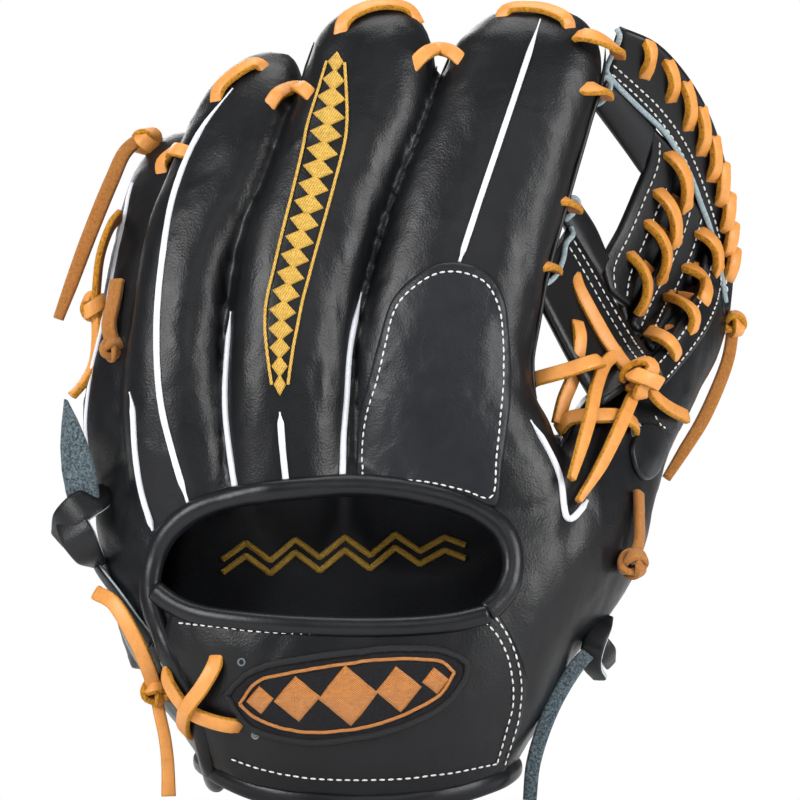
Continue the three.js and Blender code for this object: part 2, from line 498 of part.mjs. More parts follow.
// A prism over an outline in the plane of the back, between two depths.
function prism(outline, near, far) {
  const geometry = new THREE.ExtrudeGeometry(new THREE.Shape(outline), {
    depth: far - near, bevelEnabled: false, steps: 1,
  });
  geometry.rotateX(Math.PI / 2);
  geometry.translate(0, far, 0);
  return solidOf(geometry);
}

function rectangle(left, low, right, high) {
  return [[left, low], [right, low], [right, high], [left, high]].map(
    ([x, y]) => new THREE.Vector2(x, y));
}

function smooth(shares, count) {
  const curve = new THREE.CatmullRomCurve3(
    shares.map((share) => new THREE.Vector3(share[0], share[1], share[2] ?? 0)), false, 'centripetal');
  return curve.getSpacedPoints(count).map(
    (point) => new THREE.Vector2(point.x, point.y).multiplyScalar(GLOVE_HEIGHT));
}

// Fingers and body.
function fingerSpine(finger, s) {
  return finger.root.clone().add(new THREE.Vector3(
    finger.lean * spline(finger.leanShares, s),
    finger.curl * spline(finger.curlShares, s),
    finger.length * s));
}

function fingerFrame(finger, s) {
  const stepShare = 0.02;
  const along = fingerSpine(finger, s + stepShare).sub(fingerSpine(finger, s - stepShare)).normalize();
  const turn = finger.turnAngle * DEGREE;
  const across = new THREE.Vector3(Math.cos(turn), Math.sin(turn), 0);
  across.addScaledVector(along, -along.dot(across)).normalize();
  return { centre: fingerSpine(finger, s), along, across, palm: along.clone().cross(across) };
}

function fingerHalfWidth(finger, s) {
  const near = Math.max(1 - Math.max(s, 0) * 2, 0);
  return 0.5 * finger.width * spline(finger.widthShares, s) + finger.merge * near * near;
}
const fingerHalfThickness = (finger, s) => 0.5 * finger.thickness * spline(finger.thicknessShares, s);

function fingerSolid(finger, grow, stop) {
  const start = -finger.reach / finger.length;
  const domeFrom = 1 - (TIP_ROUND + stop) / finger.length;
  const domeTo = 1 - stop / finger.length;
  const [points, straight, dome] = stop ? COARSE_COUNTS : FINE_COUNTS;
  const stations = [];
  range(2).forEach((i) => stations.push(
    { s: start * (1 - i / 2), round: 1 - (1 - finger.rootShare) * (1 - i / 2) ** 2, lift: 0 }));
  range(straight + 1).forEach((i) => stations.push({ s: domeFrom * i / straight, round: 1, lift: 0 }));
  range(dome).forEach((i) => {
    const angle = (i + 1) / dome * 82 * DEGREE;
    stations.push({
      s: domeFrom + (domeTo - domeFrom) * Math.sin(angle),
      round: Math.cos(angle),
      lift: stop ? 0 : grow * Math.sin(angle),
    });
  });
  return ringSolid(stations.map(({ s, round, lift }) => {
    const { centre, along, across, palm } = fingerFrame(finger, s);
    const wide = (fingerHalfWidth(finger, s) + grow) * round;
    const deep = (fingerHalfThickness(finger, s) + grow) * round;
    return range(points).map((k) => {
      const angle = k / points * 2 * Math.PI;
      const u = Math.sign(Math.cos(angle)) * Math.abs(Math.cos(angle)) ** (2 / ROUNDNESS);
      const v = Math.sign(Math.sin(angle)) * Math.abs(Math.sin(angle)) ** (2 / ROUNDNESS);
      return centre.clone().addScaledVector(along, lift)
        .addScaledVector(across, u * wide).addScaledVector(palm, v * deep);
    });
  }));
}

// Everything on the back side of a finger's seam, shifted to the palm by `past`.
function backSide(finger, past) {
  const wide = finger.width * 1.5;
  const stationShares = [-0.5, 0, 0.2, 0.4, 0.6, 0.8, 1, 1.15];
  return ringSolid(stationShares.map((s) => {
    const { centre, across, palm } = fingerFrame(finger, s);
    return [[-wide, -wide], [wide, -wide], [wide, past], [-wide, past]].map(([u, v]) =>
      centre.clone().addScaledVector(across, u).addScaledVector(palm, v));
  }));
}

// The sides of the hand part bend to the palm, more so near the fingers.
function cup(u, share) {
  return (u > 0 ? CUP_RIGHT : CUP_LEFT) * Math.abs(u) ** 2.2 * spline(cupShares, share);
}

// The middle of the palm is pulled in to make the pocket.
function pocket(u, share) {
  return POCKET_DEPTH * (1 - u * u) ** 2 * spline(pocketShares, share);
}

// The hand part under the fingers, pulled in by its own amount on the sides, back and palm.
function bodySolid(side, back, palm, below, above) {
  const levels = [
    { share: 0, z: -below, scale: 1 },
    ...range(BODY_LEVELS).map((i) => i / (BODY_LEVELS - 1)).map(
      (share) => ({ share, z: BODY_HEIGHT * share, scale: 1 })),
    { share: 1, z: BODY_HEIGHT + above, scale: 0.5 },
  ];
  return ringSolid(levels.map(({ share, z, scale }) => {
    const left = BODY_LEFT * spline(bodyLeftShares, share) - side;
    const right = BODY_RIGHT * spline(bodyRightShares, share) - side;
    const near = BODY_BACK * spline(bodyBackShares, share) - back;
    const far = BODY_PALM * spline(bodyPalmShares, share) - palm;
    return range(BODY_POINTS).map((k) => {
      const angle = k / BODY_POINTS * 2 * Math.PI;
      const u = Math.sign(Math.cos(angle)) * Math.abs(Math.cos(angle)) ** (2 / BODY_ROUNDNESS);
      const v = Math.sign(Math.sin(angle)) * Math.abs(Math.sin(angle)) ** (2 / BODY_ROUNDNESS);
      return new THREE.Vector3(
        (right - left) / 2 + u * (right + left) / 2 * scale,
        v * (v > 0 ? far - pocket(u, share) : near) * scale + cup(u * scale, share), z);
    });
  }));
}

// Everything on the back side of the side seam of the hand part.
function bodyBackSide(past) {
  const wide = (BODY_LEFT + BODY_RIGHT) / 2;
  const middle = (BODY_RIGHT - BODY_LEFT) / 2;
  const levelShares = [-0.3, 0, 0.25, 0.5, 0.75, 1, 1.2];
  const acrossShares = [2, 1, 0.75, 0.5, 0, -0.5, -0.75, -1, -2];
  return ringSolid(levelShares.map((share) => [
    new THREE.Vector3(middle - 2 * wide, -REACH, BODY_HEIGHT * share),
    new THREE.Vector3(middle + 2 * wide, -REACH, BODY_HEIGHT * share),
    ...acrossShares.map((u) => new THREE.Vector3(
      middle + u * wide, cup(Math.min(Math.max(u, -1), 1), share) + past, BODY_HEIGHT * share)),
  ]));
}

const outers = FINGERS.map((finger) => fingerSolid(finger, 0, 0));
const outersGrown = FINGERS.map((finger) => fingerSolid(finger, PLAY, 0));
const stalls = FINGERS.map((finger) => fingerSolid(finger, -FINGER_WALL, STALL_STOP));
const backSides = FINGERS.map((finger) => backSide(finger, 0));
const backSidesGrown = FINGERS.map((finger) => backSide(finger, SIDE_PLAY));
const grownBody = (grow) => bodySolid(-grow, -grow, -grow, HEM_REACH, BODY_CROWN);
const body = grownBody(0);
const handCavity = bodySolid(FINGER_WALL, BACK_WALL, PALM_SKIN, 2 * HEM_REACH, 0);
const cavity = join([handCavity, ...stalls]);
const bodyBack = bodyBackSide(0);
const bodyBackGrown = bodyBackSide(SIDE_PLAY);
const skinAt = (grow) => join([grownBody(grow), ...FINGERS.map((finger) => fingerSolid(finger, grow, 0))]);
const skin = skinAt(0);

// Paths on the leather.
function meshOf(solid, material) {
  const mesh = solid.getMesh();
  const geometry = new THREE.BufferGeometry();
  geometry.setAttribute('position', new THREE.BufferAttribute(mesh.vertProperties, 3));
  geometry.setIndex(new THREE.BufferAttribute(mesh.triVerts, 1));
  return new THREE.Mesh(geometry, material);
}

const seen = meshOf(skin, new THREE.MeshBasicMaterial({ side: THREE.DoubleSide }));
const caster = new THREE.Raycaster();

// Lays an [across, up, lift] route on the back of the glove, and bridges the gaps in it.
// The lift is out of the leather, along its normal.
function onBack(route) {
  const hits = route.map(([x, z]) => {
    caster.set(tip([x, 0, z]).setY(-REACH), new THREE.Vector3(0, 1, 0));
    return caster.intersectObject(seen)[0];
  });
  return route.map(([x, z, lift = 0], i) => {
    const hit = hits[i];
    if (hit) return hit.point.clone().addScaledVector(hit.face.normal, lift * GLOVE_HEIGHT);
    const before = hits.slice(0, i).findLast(Boolean);
    const after = hits.slice(i + 1).find(Boolean);
    const depth = ((before ?? after).point.y + (after ?? before).point.y) / 2;
    return tip([x, 0, z]).setY(depth - lift * GLOVE_HEIGHT);
  });
}

// A flat strip carried along a curve. Its face is turned to `face` at the middle of the run,
// or its width lies along `sides`, one direction for each point of the route. `reach` makes
// both ends longer.
function strip(route, width, thickness, { face = OUT, sides = null, step = LACE_STEP, reach = 0 } = {}) {
  const curve = new THREE.CatmullRomCurve3(route, false, 'centripetal');
  const count = Math.max(Math.round(curve.getLength() / step), 2);
  const places = curve.getSpacedPoints(count);
  const alongs = places.map((_, i) => places[Math.min(i + 1, count)].clone()
    .sub(places[Math.max(i - 1, 0)]).normalize());
  const square = (vector, along) => vector.clone().addScaledVector(along, -vector.dot(along)).normalize();
  const faces = [];
  if (sides) {
    const turning = new THREE.CatmullRomCurve3(sides, false, 'centripetal');
    alongs.forEach((along, i) => {
      const side = turning.getPoint(curve.getUtoTmapping(i / count));
      faces[i] = square(side, along).cross(along);
    });
  } else {
    const middle = Math.floor(count / 2);
    faces[middle] = square(face, alongs[middle]);
    for (let i = middle + 1; i <= count; i += 1) faces[i] = square(faces[i - 1], alongs[i]);
    for (let i = middle - 1; i >= 0; i -= 1) faces[i] = square(faces[i + 1], alongs[i]);
  }
  places[0].addScaledVector(alongs[0], -reach);
  places[count].addScaledVector(alongs[count], reach);
  return ringSolid(places.map((place, i) => {
    const across = alongs[i].clone().cross(faces[i]);
    return [[-1, -1], [1, -1], [1, 1], [-1, 1]].map(([u, v]) => place.clone()
      .addScaledVector(across, u * width / 2).addScaledVector(faces[i], v * thickness / 2));
  }));
}

// The strip and the wider room it needs in the leather that it goes through.
const laceOf = (route, options = {}) => ({
  solid: strip(route, LACE_WIDTH, LACE_THICKNESS, options),
  grown: strip(route, LACE_WIDTH + 2 * PLAY, LACE_THICKNESS + 2 * PLAY, { ...options, reach: PLAY }),
});

// A round roll of leather along a path.
function roll(points, wide, deep, step) {
  const curve = new THREE.CatmullRomCurve3(points, false, 'centripetal');
  const count = Math.max(Math.round(curve.getLength() / step), 2);
  const places = curve.getSpacedPoints(count);
  return ringSolid(places.map((place, i) => {
    const along = places[Math.min(i + 1, count)].clone().sub(places[Math.max(i - 1, 0)]).normalize();
    const across = along.clone().cross(OUT).normalize();
    const out = across.clone().cross(along);
    return range(ROLL_SIDES).map((k) => {
      const angle = k / ROLL_SIDES * 2 * Math.PI;
      return place.clone().addScaledVector(across, Math.cos(angle) * wide / 2)
        .addScaledVector(out, Math.sin(angle) * deep / 2);
    });
  }));
}

// The outline of a ribbon along a flat route.
function ribbon(shares, width, count) {
  const places = smooth(shares, count);
  const sides = places.map((place, i) => {
    const along = places[Math.min(i + 1, count)].clone().sub(places[Math.max(i - 1, 0)]).normalize();
    return new THREE.Vector2(-along.y, along.x).multiplyScalar(width / 2);
  });
  return [
    ...places.map((place, i) => place.clone().add(sides[i])),
    ...places.map((place, i) => place.clone().sub(sides[i])).reverse(),
  ];
}

const parts = new THREE.Group();
function add(name, solid, material) {
  const part = meshOf(biggest(solid.asOriginal().simplify(FINISH)), material.clone());
  part.geometry = toCreasedNormals(part.geometry, CREASE);
  part.name = name;
  parts.add(part);
}
const leather = new THREE.MeshStandardMaterial({ color: '#1b1b1d', roughness: 0.45, metalness: 0 });
const rawhide = new THREE.MeshStandardMaterial({ color: '#e9a45b', roughness: 0.6, metalness: 0 });
const satin = new THREE.MeshStandardMaterial({ color: '#d58b45', roughness: 0.4, metalness: 0 });
const gold = new THREE.MeshStandardMaterial({ color: '#d9b34a', roughness: 0.5, metalness: 0 });
const weltLeather = new THREE.MeshStandardMaterial({ color: '#e9eaf0', roughness: 0.5, metalness: 0 });

// A panel of even thickness between two edges, `bulge` proud of the straight line between them.
function panelBetween(left, right, thickness, bulge, rows, columns) {
  const edges = [left, right].map((edge) =>
    new THREE.CatmullRomCurve3(edge.map(tip), false, 'centripetal').getSpacedPoints(rows));
  const grid = range(rows + 1).map((r) => range(columns + 1).map((c) => {
    const across = c / columns;
    return edges[0][r].clone().lerp(edges[1][r], across)
      .addScaledVector(OUT, bulge * Math.sin(Math.PI * across));
  }));
  const normals = grid.map((row, r) => row.map((_, c) => {
    const along = grid[Math.min(r + 1, rows)][c].clone().sub(grid[Math.max(r - 1, 0)][c]);
    const across = row[Math.min(c + 1, columns)].clone().sub(row[Math.max(c - 1, 0)]);
    const normal = along.cross(across).normalize();
    return normal.y > 0 ? normal.negate() : normal;
  }));
  const front = grid.flat();
  const back = front.map((point, i) => point.clone().addScaledVector(normals.flat()[i], -thickness));
  const wide = columns + 1;
  const triangles = [];
  const quad = (a, b, c, d) => triangles.push([a, b, c], [a, c, d]);
  const far = front.length;
  for (let r = 0; r < rows; r += 1) {
    for (let c = 0; c < columns; c += 1) {
      const a = r * wide + c;
      quad(a, a + 1, a + wide + 1, a + wide);
      quad(far + a, far + a + wide, far + a + wide + 1, far + a + 1);
    }
    const [l, m] = [r * wide, r * wide + columns];
    quad(l, l + wide, far + l + wide, far + l);
    quad(m, far + m, far + m + wide, m + wide);
  }
  for (let c = 0; c < columns; c += 1) {
    const top = rows * wide + c;
    quad(c, far + c, far + c + 1, c + 1);
    quad(top, top + 1, far + top + 1, far + top);
  }
  return solidFrom([...front, ...back], triangles);
}

const ball = (centre, radius) => solidOf(
  new THREE.SphereGeometry(radius, 6, 4).translate(...centre.toArray()));

// A knot: a lace wound twice round its own end, as two flat rings that lean across each other.
function knot(centre, size, axis) {
  const [inner, outer, half] = [0.3, 0.46, 0.2].map((share) => share * size);
  const leans = [[0.9, 0.1], [-0.7, 0.5]];
  const turn = new THREE.Quaternion().setFromUnitVectors(new THREE.Vector3(0, 1, 0), axis.clone().normalize());
  const rings = leans.map(([x, z]) => {
    const profile = [[inner, -half], [outer, -half], [outer, half], [inner, half], [inner, -half]];
    const ring = new THREE.LatheGeometry(profile.map(([r, y]) => new THREE.Vector2(r, y)), 7);
    ring.rotateX(x).rotateZ(z).applyQuaternion(turn).translate(...centre.toArray());
    return solidOf(ring);
  });
  return join([ball(centre, inner * 1.2), ...rings]);
}

// Rolls, welts, and the fields that split the skin into panels.
const binding = roll(onBack(bindingShares), ROLL_WIDTH, ROLL_DEPTH, ROLL_STEP);
const bindingGrown = roll(onBack(bindingShares), ROLL_WIDTH + 2 * PLAY, ROLL_DEPTH + 2 * PLAY, ROLL_STEP);
const strapTopFree = roll(onBack(strapTopShares), ROLL_WIDTH, ROLL_DEPTH, ROLL_STEP);
const strapTop = biggest(strapTopFree.subtract(bindingGrown));
const strapTopGrown = roll(
  onBack(strapTopShares), ROLL_WIDTH + 2 * PLAY, ROLL_DEPTH + 2 * PLAY, ROLL_STEP);

const backSideOfAll = join(backSides);
const backSideOfAllGrown = join(backSidesGrown);
const weltProud = skinAt(WELT_PROUD);
const weltBed = skinAt(-WELT_SUNK);
const weltBedDeep = skinAt(-WELT_SUNK - PLAY);
const weltPrism = (shares, width) => prism(ribbon(shares, width, WELT_STEPS), -REACH, REACH);
const welts = Object.entries(weltRoutes).map(([name, shares]) => {
  const whole = weltProud.subtract(weltBed).intersect(weltPrism(shares, WELT_WIDTH)).intersect(backSideOfAll);
  return { name, whole: whole.subtract(bindingGrown) };
});
const weltSlots = Object.values(weltRoutes).map(
  (shares) => weltPrism(shares, WELT_WIDTH + 2 * PLAY).subtract(weltBedDeep));

const mask = (shares) => prism(
  shares.map(flat).filter((point, i, all) => i === 0 || !point.equals(all[i - 1])), -REACH, REACH);
const hem = mask([...hemShares, [0.705, 0.1888], [0.705, -0.2518], [-0.6799, -0.2518],
  [-0.6799, 0.1259]]);
const opening = mask([...bindingShares.slice(4), ...strapTopShares]);
const seam = (shares) => prism(ribbon(shares, 2 * PLAY, WELT_STEPS), -REACH, REACH);
const seams = [
  ...['welt_pinky_ring', 'welt_ring_middle', 'welt_middle_index', 'welt_thumb_crotch'].map(
    (name) => seam(weltRoutes[name])),
  seam(thumbSeamShares),
  seam(strapEdgeShares),
  seam(bindingShares.slice(0, 5)),
];
const {
  welt_pinky_ring: lineA, welt_ring_middle: lineB, welt_middle_index: lineC, welt_thumb_crotch: lineD,
} = weltRoutes;
const down = (shares) => [...shares];
const up = (shares) => [...shares].reverse();
const fields = [
  mask([...down(lineC), [0.1133, 0.277], ...up(thumbSeamShares), ...up(lineD), [0.2379, 0.5162]]),
  mask([...down(lineB), [-0.0629, 0.277], ...up(lineC)]),
  mask([[-0.2594, 0.5162], ...down(lineA), [-0.1763, 0.277], ...up(lineB)]),
  mask([[-0.2594, 0.5162], ...down(lineA), [-0.214, 0.2896], [-0.2203, 0.2392],
    ...up(bindingShares.slice(0, 5)),
    [-0.1612, -0.2518], [-0.6799, -0.2518], [-0.6799, 0.5162]]),
  mask([[0.2379, 0.5162], ...down(lineD), ...down(thumbSeamShares), ...down(strapEdgeShares),
    [0.2077, -0.2518], [0.768, -0.2518], [0.768, 0.5162]]),
];
const strapField = mask([...up(strapTopShares), ...down(strapEdgeShares), [0.2077, -0.2518],
  [-0.1612, -0.2518],
  ...down(bindingShares.slice(0, 5))]);

// Hand part, back and palm.
const bodyShell = body.intersect(bodyBack).subtract(hem);
const bodyShellGrown = grownBody(PLAY).intersect(bodyBackGrown);
const plots = fields.map((field, i) => outers[i].intersect(backSides[i]).add(bodyShell.intersect(field)));
const plotsGrown = fields.map((field, i) => outersGrown[i].add(bodyShellGrown.intersect(field)));

const thumbSide = (gap) => prism([
  new THREE.Vector2(hingeAt(-REACH) + gap, -REACH),
  new THREE.Vector2(2 * REACH, -REACH),
  new THREE.Vector2(2 * REACH, 2 * REACH),
  new THREE.Vector2(hingeAt(2 * REACH) + gap, 2 * REACH),
], -REACH, REACH);

// Laces through the air, and knots with the lace ends that go into them.
const tailOf = (routes, step = TAIL_STEP) => {
  const places = routes.map((route) => route.map(tip));
  const wide = LACE_WIDTH + 2 * PLAY;
  const thick = LACE_THICKNESS + 2 * PLAY;
  return {
    solid: join(places.map((route) => strip(route, LACE_WIDTH, LACE_THICKNESS, { step }))),
    grown: join(places.map((route) => strip(route, wide, thick, { step, reach: PLAY }))),
  };
};
const freeLaces = Object.entries(airLaces).map(([name, routes]) => ({ name, ...tailOf(routes) }));
const ties = Object.entries(webTies).map(([name, route]) => {
  const places = route.map(tip);
  return {
    name,
    solid: strip(places, LACE_WIDTH, LACE_THICKNESS),
    grown: strip(places, LACE_WIDTH + 2 * TIE_PLAY, LACE_THICKNESS + 2 * TIE_PLAY, { reach: TIE_PLAY }),
  };
});
const knots = Object.entries(knotPlaces).map(([name, { at, size, axis, ends }]) => {
  const { solid, grown } = tailOf(ends, LACE_STEP);
  const wound = knot(tip(at), size, new THREE.Vector3(...axis)).add(solid);
  return {
    name,
    solid: biggest(cutAll(wound, freeLaces.map((lace) => lace.grown))),
    grown: grown.add(ball(tip(at), size * KNOT_ROOM)),
  };
});
const rimEdge = new THREE.CatmullRomCurve3(webOutlines.web_rim_band.right.map(tip), false, 'centripetal');
const rimInside = new THREE.CatmullRomCurve3(webOutlines.web_rim_band.left.map(tip), false, 'centripetal');
const rimPitch = (RIM_TO_SHARE - RIM_FROM_SHARE) / (RIM_TURNS - 1);
const rimPoint = (at, inset, lift) => {
  const edge = rimEdge.getPointAt(at);
  const inward = rimInside.getPointAt(at).sub(edge).normalize();
  return edge.addScaledVector(inward, inset).addScaledVector(OUT, lift);
};
const rimRoute = range(RIM_TURNS).flatMap((turn) => {
  const at = RIM_FROM_SHARE + rimPitch * turn;
  return [
    rimPoint(at, RIM_INSET, LACE_OVER),
    rimPoint(at + rimPitch * 0.12, -LACE_OVER, -WEB_THICKNESS / 2),
    rimPoint(at + rimPitch * 0.5, RIM_INSET * 0.6, -WEB_THICKNESS - LACE_OVER),
    rimPoint(at + rimPitch * 0.88, RIM_INSET + LACE_OVER, -WEB_THICKNESS / 2),
  ];
});
const rimSides = range(RIM_TURNS).flatMap((turn) =>
  Array(4).fill(rimEdge.getTangentAt(RIM_FROM_SHARE + rimPitch * turn)));
const rowRoute = (crossings) => crossings.flatMap(([from, to]) => {
  const [a, b] = [tip(from), tip(to)];
  const lift = (share, out) => a.clone().lerp(b, share).addScaledVector(OUT, out);
  return [
    lift(0, -WEB_THICKNESS / 2), lift(0.1, LACE_OVER), lift(0.5, LACE_OVER * 1.4), lift(0.9, LACE_OVER),
    lift(1, -WEB_THICKNESS / 2), lift(0.8, -WEB_THICKNESS - LACE_OVER),
  ];
});
const rowSides = (crossings) => crossings.flatMap(([from, to]) => {
  const across = tip(to).sub(tip(from)).cross(OUT).normalize();
  return Array(6).fill(across);
});
const webStrip = (reach, route, sides) => strip(
  route, WEB_LACE_WIDTH + 2 * reach, WEB_LACE_THICKNESS + 2 * reach,
  { sides, step: WEB_LACE_STEP, reach });
const webLaces = [
  { name: 'web_rim_lace', route: rimRoute, sides: rimSides },
  { name: 'web_row_lace_outer', route: rowRoute(rowOuterShares), sides: rowSides(rowOuterShares) },
  { name: 'web_row_lace_inner', route: rowRoute(rowInnerShares), sides: rowSides(rowInnerShares) },
].map(({ name, route, sides }) => ({
  name,
  solid: webStrip(0, route, sides),
  grown: webStrip(WEB_LACE_PLAY, route, sides),
}));

const looseHoles = [...freeLaces, ...knots, ...ties, ...webLaces].map(({ grown }) => grown);

// Laces on the back, each run out of one hole and into the next.
const runs = Object.entries(laceRuns).map(([name, route]) => {
  return { name, ...laceOf(onBack(route)) };
});
const crossRoutes = strapCrossLace.map(onBack);
runs.push({
  name: 'strap_cross_lace',
  solid: join(crossRoutes.map((route) => laceOf(route).solid)),
  grown: join(crossRoutes.map((route) => laceOf(route).grown)),
});
const runHoles = runs.map(({ grown }) => grown);

const backs = plots.map((plot, i) => biggest(cutAll(plot, [
  cavity, ...plotsGrown.slice(0, i), opening, bindingGrown, strapTopGrown,
  ...weltSlots, ...seams, ...runHoles, ...looseHoles])));
const strap = biggest(cutAll(bodyShell.intersect(strapField), [
  cavity, bindingGrown, strapTopGrown, ...seams, ...runHoles, ...looseHoles]));
const palmWhole = cutAll(
  join([body.subtract(bodyBack), ...outers.map((outer, i) => outer.subtract(backSides[i]))]),
  [cavity, hem, bodyShellGrown, ...runHoles, ...looseHoles,
    ...weltSlots.map((slot) => slot.intersect(backSideOfAllGrown)), ...outersGrown.map(
    (outer, i) => outer.intersect(backSidesGrown[i]))]);
const palmShell = biggest(palmWhole.subtract(thumbSide(-HINGE_PLAY / 2)));
const thumbFront = biggest(cutAll(palmWhole.intersect(thumbSide(HINGE_PLAY / 2)), [
  backs[4], backs[4].translate(0, SIDE_PLAY, 0)]));

['index', 'middle', 'ring', 'pinky', 'thumb'].forEach(
  (name, i) => add(`${name}_back_panel`, backs[i], leather));
add('palm_shell', palmShell, leather);
add('thumb_front_panel', thumbFront, leather);
add('wrist_strap', strap, leather);
add('wrist_binding', biggest(cutAll(binding, [...runHoles, ...looseHoles])), leather);
add('strap_top_roll', strapTop, leather);
welts.forEach(({ name, whole }) => add(name, nearest(cutAll(whole, runHoles)), weltLeather));
runs.forEach(({ name, solid }) => add(name, solid, rawhide));

// Inside: pad and lining.
const layer = (near, deep, far) => bodySolid(FINGER_WALL + PLAY, near, deep, HEM_REACH, 0)
  .subtract(bodySolid(0, near, far, 2 * HEM_REACH, BODY_CROWN)).subtract(bodyBackSide(LINING_EDGE));
const liningFront = PALM_STACK - LINING_THICKNESS;
const lining = biggest(layer(0, liningFront, PALM_STACK).intersect(mask(liningShares)));
const pads = layer(0, PALM_SKIN + PLAY, liningFront - PLAY)
  .subtract(bodySolid(FINGER_WALL, 0, liningFront - PLAY, 2 * HEM_REACH, BODY_CROWN));
add('palm_lining', lining, leather);
add('palm_pad', biggest(pads.intersect(mask(palmPadShares))), leather);

// Web.
const clearOfFingers = (solid) => biggest(
  solid.subtract(fingerSolid(thumb, PLAY, 0)).subtract(fingerSolid(indexFinger, HINGE_PLAY, 0)));
const webPanels = Object.entries(webOutlines).map(([name, { left, right }]) => ({
  name, solid: clearOfFingers(panelBetween(left, right, WEB_THICKNESS, WEB_BULGE, 8, 2)),
}));

webPanels.forEach(({ name, solid }) => add(
  name, biggest(cutAll(solid, [...looseHoles, ...webLaces.map((lace) => lace.solid)])), leather));
webLaces.forEach(({ name, solid }) => add(name, solid, rawhide));

// Knots, ties and loose ends.
freeLaces.forEach(({ name, solid }) => add(name, solid, name.includes('leather') ? leather : rawhide));
knots.forEach(({ name, solid }) => add(name, solid, name.includes('leather') ? leather : rawhide));
ties.forEach(({ name, solid }) => add(name, solid, rawhide));

// Pads and decoration on the back.
const coat = (low, high) => skinAt(high).subtract(skinAt(low));
const fingerPad = coat(COAT_GAP, PAD_PROUD).intersect(mask(smooth(fingerPadShares, 22).map(
  (point) => [point.x / GLOVE_HEIGHT, point.y / GLOVE_HEIGHT])));
const patch = coat(COAT_GAP, PAD_PROUD).intersect(mask(strapPatchShares));
const patchSewing = coat(PAD_PROUD + COAT_GAP, PAD_PROUD + THREAD_PROUD).intersect(mask(patchSewingShares));
const fingerSewing = coat(COAT_GAP, THREAD_PROUD).intersect(mask(fingerSewingShares));
const loop = coat(COAT_GAP, LOOP_PROUD).intersect(mask(thumbLoopShares));
add('thumb_loop', nearest(cutAll(loop, looseHoles)), leather);
add('finger_pad', nearest(fingerPad.subtract(bindingGrown)), leather);
add('strap_patch', nearest(patch), leather);
const sewn = layer(0, liningFront, PALM_STACK + THREAD_PROUD + COAT_GAP).subtract(
  layer(0, 0, PALM_STACK + COAT_GAP)).intersect(mask(liningSewingShares));
add('lining_embroidery', biggest(sewn), gold);
add('patch_embroidery', nearest(patchSewing), satin);
add('finger_embroidery', nearest(fingerSewing), gold);

export default parts;
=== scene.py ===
"""A fielder's glove for the left hand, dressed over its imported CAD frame.

Everything is in metres in the frame of the CAD: +Z runs from the wrist strap to the
fingertips, -Y points out of the back of the glove and +X towards the thumb. Flat routes
are written as places in the photograph, 800 by 800, at 0.35 mm to the pixel.
"""

import logging
import math
from dataclasses import dataclass, field
from enum import Enum
from typing import Sequence

import bpy
import numpy as np
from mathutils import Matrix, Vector
from mathutils.bvhtree import BVHTree


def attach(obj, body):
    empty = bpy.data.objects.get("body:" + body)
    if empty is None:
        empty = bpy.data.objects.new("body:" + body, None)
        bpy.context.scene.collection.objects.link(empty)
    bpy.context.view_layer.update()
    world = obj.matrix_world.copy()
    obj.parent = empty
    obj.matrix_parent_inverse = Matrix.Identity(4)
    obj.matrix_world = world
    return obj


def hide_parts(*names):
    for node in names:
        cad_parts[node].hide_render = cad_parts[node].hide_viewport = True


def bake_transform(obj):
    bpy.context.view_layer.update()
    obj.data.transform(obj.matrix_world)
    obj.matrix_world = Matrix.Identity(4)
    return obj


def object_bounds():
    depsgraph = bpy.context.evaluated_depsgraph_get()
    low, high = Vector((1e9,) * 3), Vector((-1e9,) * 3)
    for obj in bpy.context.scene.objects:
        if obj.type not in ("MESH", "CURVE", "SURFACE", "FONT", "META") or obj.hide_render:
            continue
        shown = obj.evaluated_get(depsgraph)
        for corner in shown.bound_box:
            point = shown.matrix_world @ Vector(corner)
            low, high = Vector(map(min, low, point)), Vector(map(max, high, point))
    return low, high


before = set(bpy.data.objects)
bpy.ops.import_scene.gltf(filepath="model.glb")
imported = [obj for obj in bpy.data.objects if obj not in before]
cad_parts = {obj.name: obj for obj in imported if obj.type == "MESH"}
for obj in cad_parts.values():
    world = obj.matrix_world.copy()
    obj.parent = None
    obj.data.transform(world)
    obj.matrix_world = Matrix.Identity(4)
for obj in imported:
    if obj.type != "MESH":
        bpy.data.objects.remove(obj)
CAD_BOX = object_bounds()

log = logging.getLogger("glove")

Array = np.ndarray
Places = Sequence[Sequence[float]]
Socket = bpy.types.NodeSocket
MM = 0.001
PIXEL = 0.35 * MM
MIDDLE_COLUMN = 340
BOTTOM_ROW = 790
OUT = np.array([0.0, -1.0, 0.0])
TILTED = np.array([0.45, -0.83, 0.33])
STITCH_PITCH = 2.9 * MM
STITCH_LENGTH = 2.1 * MM
STITCH_WIDTH = 0.75 * MM
STITCH_HEIGHT = 0.6 * MM


class Body(Enum):
    """The two rigid bodies of the frame, and the leather that bends between them."""

    HAND = "hand"
    THUMB = "thumb"
    BOTH = "both"


def across(column: Array | float) -> Array | float:
    """X of a column of the photograph."""
    return (np.asarray(column) - MIDDLE_COLUMN) * PIXEL


def up(row: Array | float) -> Array | float:
    """Z of a row of the photograph."""
    return (BOTTOM_ROW - np.asarray(row)) * PIXEL


def flat_places(route: Places) -> Array:
    """X and Z of (column, row) places."""
    table = np.array(route, float)
    return np.column_stack([across(table[:, 0]), up(table[:, 1])])


def spots(*places: Sequence[float]) -> Array:
    """Points from (column, row, depth in mm) places, seen from the back of the hand."""
    table = np.array(places, float)
    return np.column_stack([across(table[:, 0]), table[:, 2] * MM, up(table[:, 1])])


def unit(vectors: Array) -> Array:
    """The vectors at length one."""
    return vectors / np.maximum(np.linalg.norm(vectors, axis=-1, keepdims=True), 1e-12)


def turns_round(count: int) -> Array:
    """Angles evenly spaced over one full turn."""
    return np.arange(count) / count * 2 * np.pi


